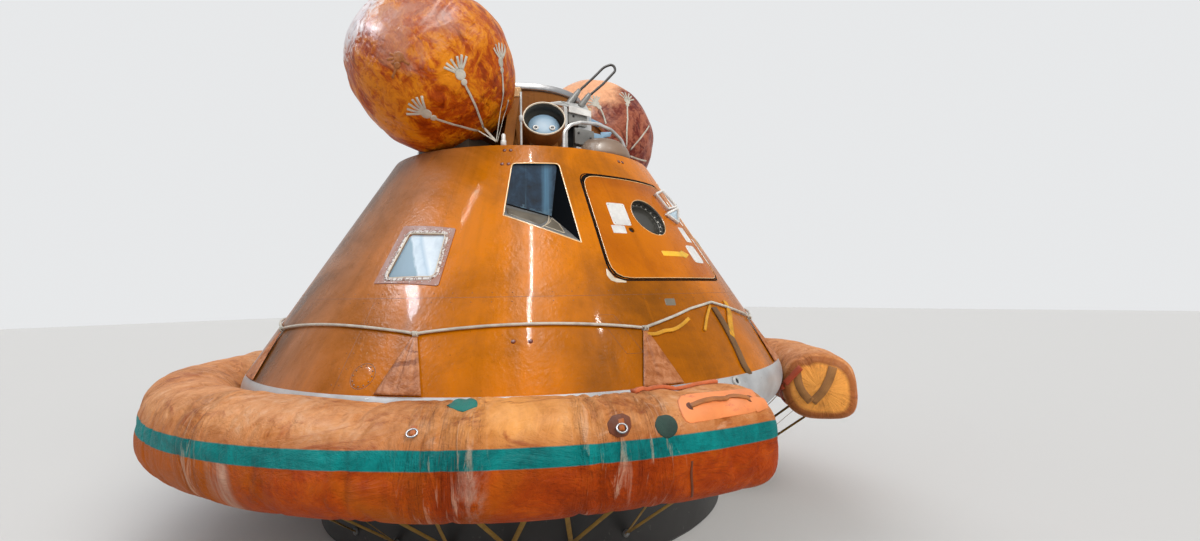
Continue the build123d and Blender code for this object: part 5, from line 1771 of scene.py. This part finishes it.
hoist = {
    "azimuth": -4.0,
    "outer": 0.227,
    "depth": 0.125,
    "top": 0.40768,
    # on the bracket's outer face: middle right and up, size right, forward and up, forward, look
    "plates": [
        ("bracketStrip", (-0.187, -0.235), (0.03, 0.1, 0.33), -0.04, paleGrey),
        ("bracketBack", (-0.07, -0.24), (0.22, 0.01, 0.31), -0.075, blackPaint),
        ("bracketPlateHigh", (-0.078, -0.14), (0.168, 0.014, 0.085), 0.0, ironGrey),
        ("bracketPlateLow", (-0.028, -0.262), (0.176, 0.014, 0.11), 0.014, ironGrey),
        ("bracketFoot", (-0.028, -0.372), (0.15, 0.02, 0.07), 0.006, paleGrey),
        ("bracketLip", (-0.07, -0.086), (0.2, 0.008, 0.044), 0.022, whitePaint),
        ("blueBlock", (0.104, -0.238), (0.092, 0.04, 0.042), 0.0, paleBlue),
    ],
    "bolts": [(-0.118, -0.125, 0.009), (-0.04, -0.15, 0.009), (0.025, -0.262, 0.023),
              (0.025, -0.335, 0.018),
              (-0.085, -0.24, 0.023)],
    "cap": [(-0.247, -0.1, -0.03), (-0.176, -0.05, -0.018), (0.06, -0.05, 0.0), (0.032, 0.026, -0.085),
            (-0.172, 0.026, -0.066)],
    "blueSheets": [[(0.045, 0.0, -0.103), (0.19, -0.02, -0.118), (0.175, -0.05, -0.135),
                    (0.044, 0.0, -0.15)],
                   [(0.149, 0.0, -0.235), (0.15, 0.0, -0.19), (0.284, -0.02, -0.159), (0.26, -0.02, -0.2)]],
    "dome": (0.15, -0.015, 0.225, 0.155),
    # sleeve: foot and end, as (right, towards the rim, up) from the top of the bracket
    "sleeves": [((-0.095, -0.03, -0.03), (-0.012, 0.006, 0.09)),
                ((-0.012, 0.018, -0.03), (0.041, 0.06, 0.062))],
}


def makeHoist():
    # boxes and thin plates in the bracket's frame: right, forward and up from the top of its outer face
    right, out = compass(hoist["azimuth"])
    up = skyward
    outer = rimRadius - hoist["outer"]
    face = around(hoist["azimuth"], outer, rimHeight + hoist["top"] * rimRadius)
    for name, (x, z), size, y, look in hoist["plates"]:
        box(name, face + right * x + out * (y + 0.01) + up * z, right, out, size, look, 0.1)
    heads = [face + right * x + out * (y + 0.008) + up * z for x, z, y in hoist["bolts"]]
    addDomes("bracketBolts", heads, out, [0.0095, 0.014], blackPaint, 10)

    def thinPlate(name, corners, depth, look):
        # flat plate through corners in the bracket's frame, its rings closed at both ends
        points = np.array([face + right * x + out * y + up * z for x, y, z in corners])
        loop = divided(roundedLoop(points, 0.004, 3), 2)
        normal = unit(np.cross(points[1] - points[0], points[2] - points[0]))
        middle = loop.mean(0)
        rings = [(0.05, -0.5), (0.985, -0.5), (1, -0.35), (1, 0.35), (0.985, 0.5), (0.05, 0.5)]
        grid = np.array([middle + (loop - middle) * share + normal * depth * step for share, step in rings])
        addGrid(name, grid, look)

    thinPlate("bracketCap", hoist["cap"], 0.012, paleGrey)
    for index, corners in enumerate(hoist["blueSheets"]):
        thinPlate(f"blueSheet_{index + 1}", corners, 0.006, paleBlue)
    x, y, radius, height = hoist["dome"]
    foot = face + right * x + out * y + up * (-hoist["top"] * rimRadius)
    rise = np.linspace(0, np.pi / 2, 9)[:-1]
    profile = np.stack([radius * np.cos(rise) ** 0.6, height * np.sin(rise)], axis=-1)
    addTurned("deckDome", foot, up, profile, domePaint, 40)
    base = around(hoist["azimuth"], outer - hoist["depth"] / 2, rimHeight + hoist["top"] * rimRadius)
    for index, (low, high) in enumerate(hoist["sleeves"]):
        first = base + np.array([low[0], -low[1], low[2]])
        last = base + np.array([high[0], -high[1], high[2]])
        path = first + (last - first) * np.linspace(0, 1.12, 8)[:, None]
        scale = np.interp(np.linspace(0, 1.12, 8), [0, 0.1, 0.85, 1.12], [1.0, 1.0, 0.86, 0.62])
        addBar(f"cableSleeve_{index + 1}", path, circle(0.0235, 14), [1.0, 0, 0], ironGrey, scale=scale)


makeHoist()
print("stage: hoist bracket dressed")


# Patches, handles, rings and ends of the collar

fittings = {
    # round patches: name, spot, radius, look
    "discs": [("tealPatch", (462.8, 404), 0.062, tealCloth),
              ("greenPatch", (665.5, 426.3), 0.05, darkTeal)],
    # patches: name, corners, look, depth, swell
    "patches": [
        ("ringPatch", [(607, 423), (612, 416), (622, 413.5), (630, 417), (631.5, 427), (627, 436),
                       (617, 437.5), (609, 433)], stainedCloth, 0.003, 0.004),
        # this patch and band carry painted light
        ("glowPatch", [(674, 396), (752, 388.5), (763, 411), (686, 424.5)], paintedLightCloth, 0.004, 0.006),
        ("glowBand", [(744, 396), (764, 399), (768, 408), (757, 413)], paintedLightCloth, 0.006, 0.004),
    ],
    "rings": [(621.8, 429), (412.7, 434.5)],
    "handle": [(690, 407), (705, 402.5), (725, 400.5), (749, 399.5)],
    "roll": [(-25.2, 2.147), (-22.5, 2.112), (-18.9, 2.092), (-14.6, 2.106), (-12.4, 2.132)],
    "slit": [(692, 461), (691.4, 474), (692.2, 487), (691.6, 497)],
    "endStraps": [[(797, 371), (798.6, 382.8), (803, 392.4), (811, 401.5)],
                  [(833, 367), (829, 380), (822.5, 391.5), (812.5, 402)]],
    "endFolds": [[(786, 383.5), (793, 375.5), (801, 367.5)], [(784.5, 386), (783, 396), (785, 405)]],
}


def ringPoints(place, normal, radius):
    # circle that leans out from a surface, its top against it
    level = unit(np.cross(skyward, normal))
    down = np.cross(level, normal)
    turn = np.linspace(0, 2 * np.pi, 28, endpoint=False)[:, None]
    lean = np.sin(turn) * unit(down + normal * 0.35)
    return place + normal * 0.012 + radius * (np.cos(turn) * level + lean)


def makeFittings():
    # discs, patches, straps and rings laid on the collar at spots of the picture
    for name, spot, radius, look in fittings["discs"]:
        layDisc(name, collarTree, spot, radius, 0.003, look)
    for name, corners, look, depth, swell in fittings["patches"]:
        layPatch(name, collarTree, corners, look, depth, swell)
    place, normal = seenOn(collarTree, fittings["rings"])
    for index, spot in enumerate(place):
        loop = ringPoints(spot, normal[index], 0.021)
        addHoop(f"collarRing_{index + 1}", loop, circle(0.0042, 8), normal[index], ringMetal)
        strap = spot + np.outer(np.linspace(-0.008, 0.05, 6), [0, 0, 1.0])
        strap = laidOn(collarTree, strap, 0.006)[0]
        addStrap(f"ringStrap_{index + 1}", strap, normal[index], 0.024, 0.003, orangeCloth)
    ends = smoothPath(seenOn(collarTree, fittings["handle"])[0], 8)
    arch = np.sin(np.pi * np.linspace(0, 1, len(ends)))[:, None] ** 0.6
    laid, facing = laidOn(collarTree, ends, 0.008)
    addStrap("collarHandle", laid + facing * arch * 0.009, facing, 0.024, 0.004, faintCloth)
    for index in (0, -1):
        layDisc(f"handlePad_{1 - index}", collarTree, fittings["handle"][index], 0.021, 0.008, stainedCloth)
    spots = np.array(fittings["roll"])
    path = smoothPath(around(*spots.T, 0.05), 8)
    laid, facing = laidOn(collarTree, path, 0.01)
    addStrap("collarRoll", laid, facing, 0.04, 0.018, rollCloth)
    layStrap("collarSlit", collarTree, fittings["slit"], 0.01, 0.002, stainedCloth)
    for name, width, depth, look in (("endStrap", 0.056, 0.004, tanStrap),
            ("endFold", 0.04, 0.016, redCloth)):
        for index, spots in enumerate(fittings[name + "s"]):
            layStrap(f"{name}_{index + 1}", collarTree, spots, width, depth, look)


makeFittings()
print("stage: collar fittings made")


# Taut straps from under the collar to the plinth

underStraps = {
    "radius": 1.4875,
    "anchorHeight": 0.15,
    "first": -68.0,
    "pitch": 12.9,
    "count": 25,
    "spread": 4.6,
    "collarRadius": 2.1,
}


def makeUnderStraps():
    # a V to each anchor: two straps run down and in from the collar's underside to one ring on the plinth
    for index in range(underStraps["count"]):
        azimuth = underStraps["first"] - 167.7 + index * underStraps["pitch"]
        if collar["end"] - 362 < (azimuth + 180) % 360 - 180 < collar["start"] + 2:
            continue
        anchor = around(azimuth, underStraps["radius"] + 0.004, underStraps["anchorHeight"] - baseZ)
        out = unit(anchor * [1, 1, 0])
        for side in (-1, 1):
            top = around(azimuth + side * underStraps["spread"], underStraps["collarRadius"], -0.44)
            hit = laidOn(collarTree, [top], 0.002)[0][0]
            name = f"underStrap_{index + 1}_{'a' if side < 0 else 'b'}"
            # these straps carry painted shade from the collar above
            addStrap(name, np.linspace(anchor, hit, 6), out, 0.026, 0.003, yellowStrapInShade)
        profile = [(0.022, -0.006), (0.022, 0.004), (0.01, 0.01), (0.003, 0.011)]
        addTurned(f"strapAnchor_{index + 1}", anchor, out, profile, ironGrey, 14)


makeUnderStraps()
print("stage: under straps made")


# Lights, world and floor

studio = {
    "world": (0.96, 0.97, 1.0),
    "worldStrength": 0.34,
    "backdrop": (0.8, 0.81, 0.82),
    "floor": (0.66, 0.66, 0.65),
    # azimuth and rise in degrees, strength, angle across, colour
    "suns": [(-6.0, 36.0, 2.3, 38.0, (1.0, 0.97, 0.93)), (-110.0, 40.0, 0.35, 60.0, (0.95, 0.97, 1.0)),
             (150, 48.0, 1.0, 50.0, (0.98, 0.98, 1.0))],
    # ends, aim, width, power, colour
    "lamps": [
        ((-1.0, -1.8, 7.85), (-2.6, -3.6, 6.1), (-0.85, -1.15, 1.9), 0.11, 520, (1.0, 0.98, 0.93)),
        ((-4.21, 2.06, 6.1), (-4.99, 0.54, 6.1), (-1.1, -0.5, 1.9), 0.35, 520, (0.85, 0.91, 1.0)),
        ((-3.06, -0.13, 7.68), (-3.76, 0.09, 7.34), (-0.9, -0.8, 1.9), 0.2, 60, (1.0, 0.93, 0.8)),
        ((-0.01, -4.67, 6.45), (-0.01, -4.87, 6.31), (-0.6, -1.3, 1.4), 0.14, 60, (1.0, 0.98, 0.93)),
    ],
}


def addLight(name, kind, energy, colour):
    # a light and its object
    light = bpy.data.lights.new(name, kind)
    light.energy = energy
    light.color = colour
    holder = bpy.data.objects.new(name, light)
    bpy.context.scene.collection.objects.link(holder)
    return light, holder


def makeStudio():
    # suns point down their azimuth and rise; each lamp is a bar between its ends, turned to face its aim
    floor = newPiece("studioFloor", [(-40, -40, 0), (40, -40, 0), (40, 40, 0), (-40, 40, 0)],
                     [(0, 1, 2, 3)],
                     newLook("floorPaint", Base_Color=studio["floor"], Roughness=0.7,
                             Specular_IOR_Level=0.2))
    for index, (azimuth, rise, strength, across, colour) in enumerate(studio["suns"]):
        sun, holder = addLight(f"sun_{index + 1}", "SUN", strength, colour)
        sun.angle = math.radians(across)
        holder.visible_glossy = False
        way = Vector(around(azimuth, math.cos(math.radians(rise)), math.sin(math.radians(rise)) - baseZ))
        holder.rotation_euler = (-way).to_track_quat("-Z", "Y").to_euler()
    for index, (first, last, aim, width, power, colour) in enumerate(studio["lamps"]):
        line = Vector(last) - Vector(first)
        middle = (Vector(last) + Vector(first)) / 2
        back = middle - Vector(aim)
        back -= line * (back.dot(line) / line.length_squared)
        back.normalize()
        lamp, holder = addLight(f"lamp_{index + 1}", "AREA", power, colour)
        lamp.shape = "RECTANGLE"
        lamp.size = width
        lamp.size_y = line.length
        holder.visible_diffuse = False
        line.normalize()
        turn = Matrix((line.cross(back), line, back)).transposed().to_4x4()
        holder.matrix_world = Matrix.Translation(middle) @ turn
    world = bpy.data.worlds.new("studio")
    bpy.context.scene.world = world
    world.use_nodes = True
    tree = world.node_tree
    path = put(tree, "LightPath")
    camera, through, glossy = [Value(path.outputs[f"Is {ray} Ray"])
                               for ray in ("Camera", "Transmission", "Glossy")]
    seen = reckon("MAXIMUM", reckon("MAXIMUM", camera, through), glossy)
    light = put(tree, "Background", {"Color": (*studio["world"], 1), "Strength": studio["worldStrength"]})
    shown = put(tree, "Background", {"Color": (*studio["backdrop"], 1), "Strength": 1.0})
    both = put(tree, "MixShader", {0: seen, 1: Value(light.outputs[0]), 2: Value(shown.outputs[0])})
    tree.links.new(both.outputs[0], tree.nodes["World Output"].inputs[0])


makeStudio()
bpy.context.scene.view_settings.view_transform = "Standard"
print("stage: studio lit")
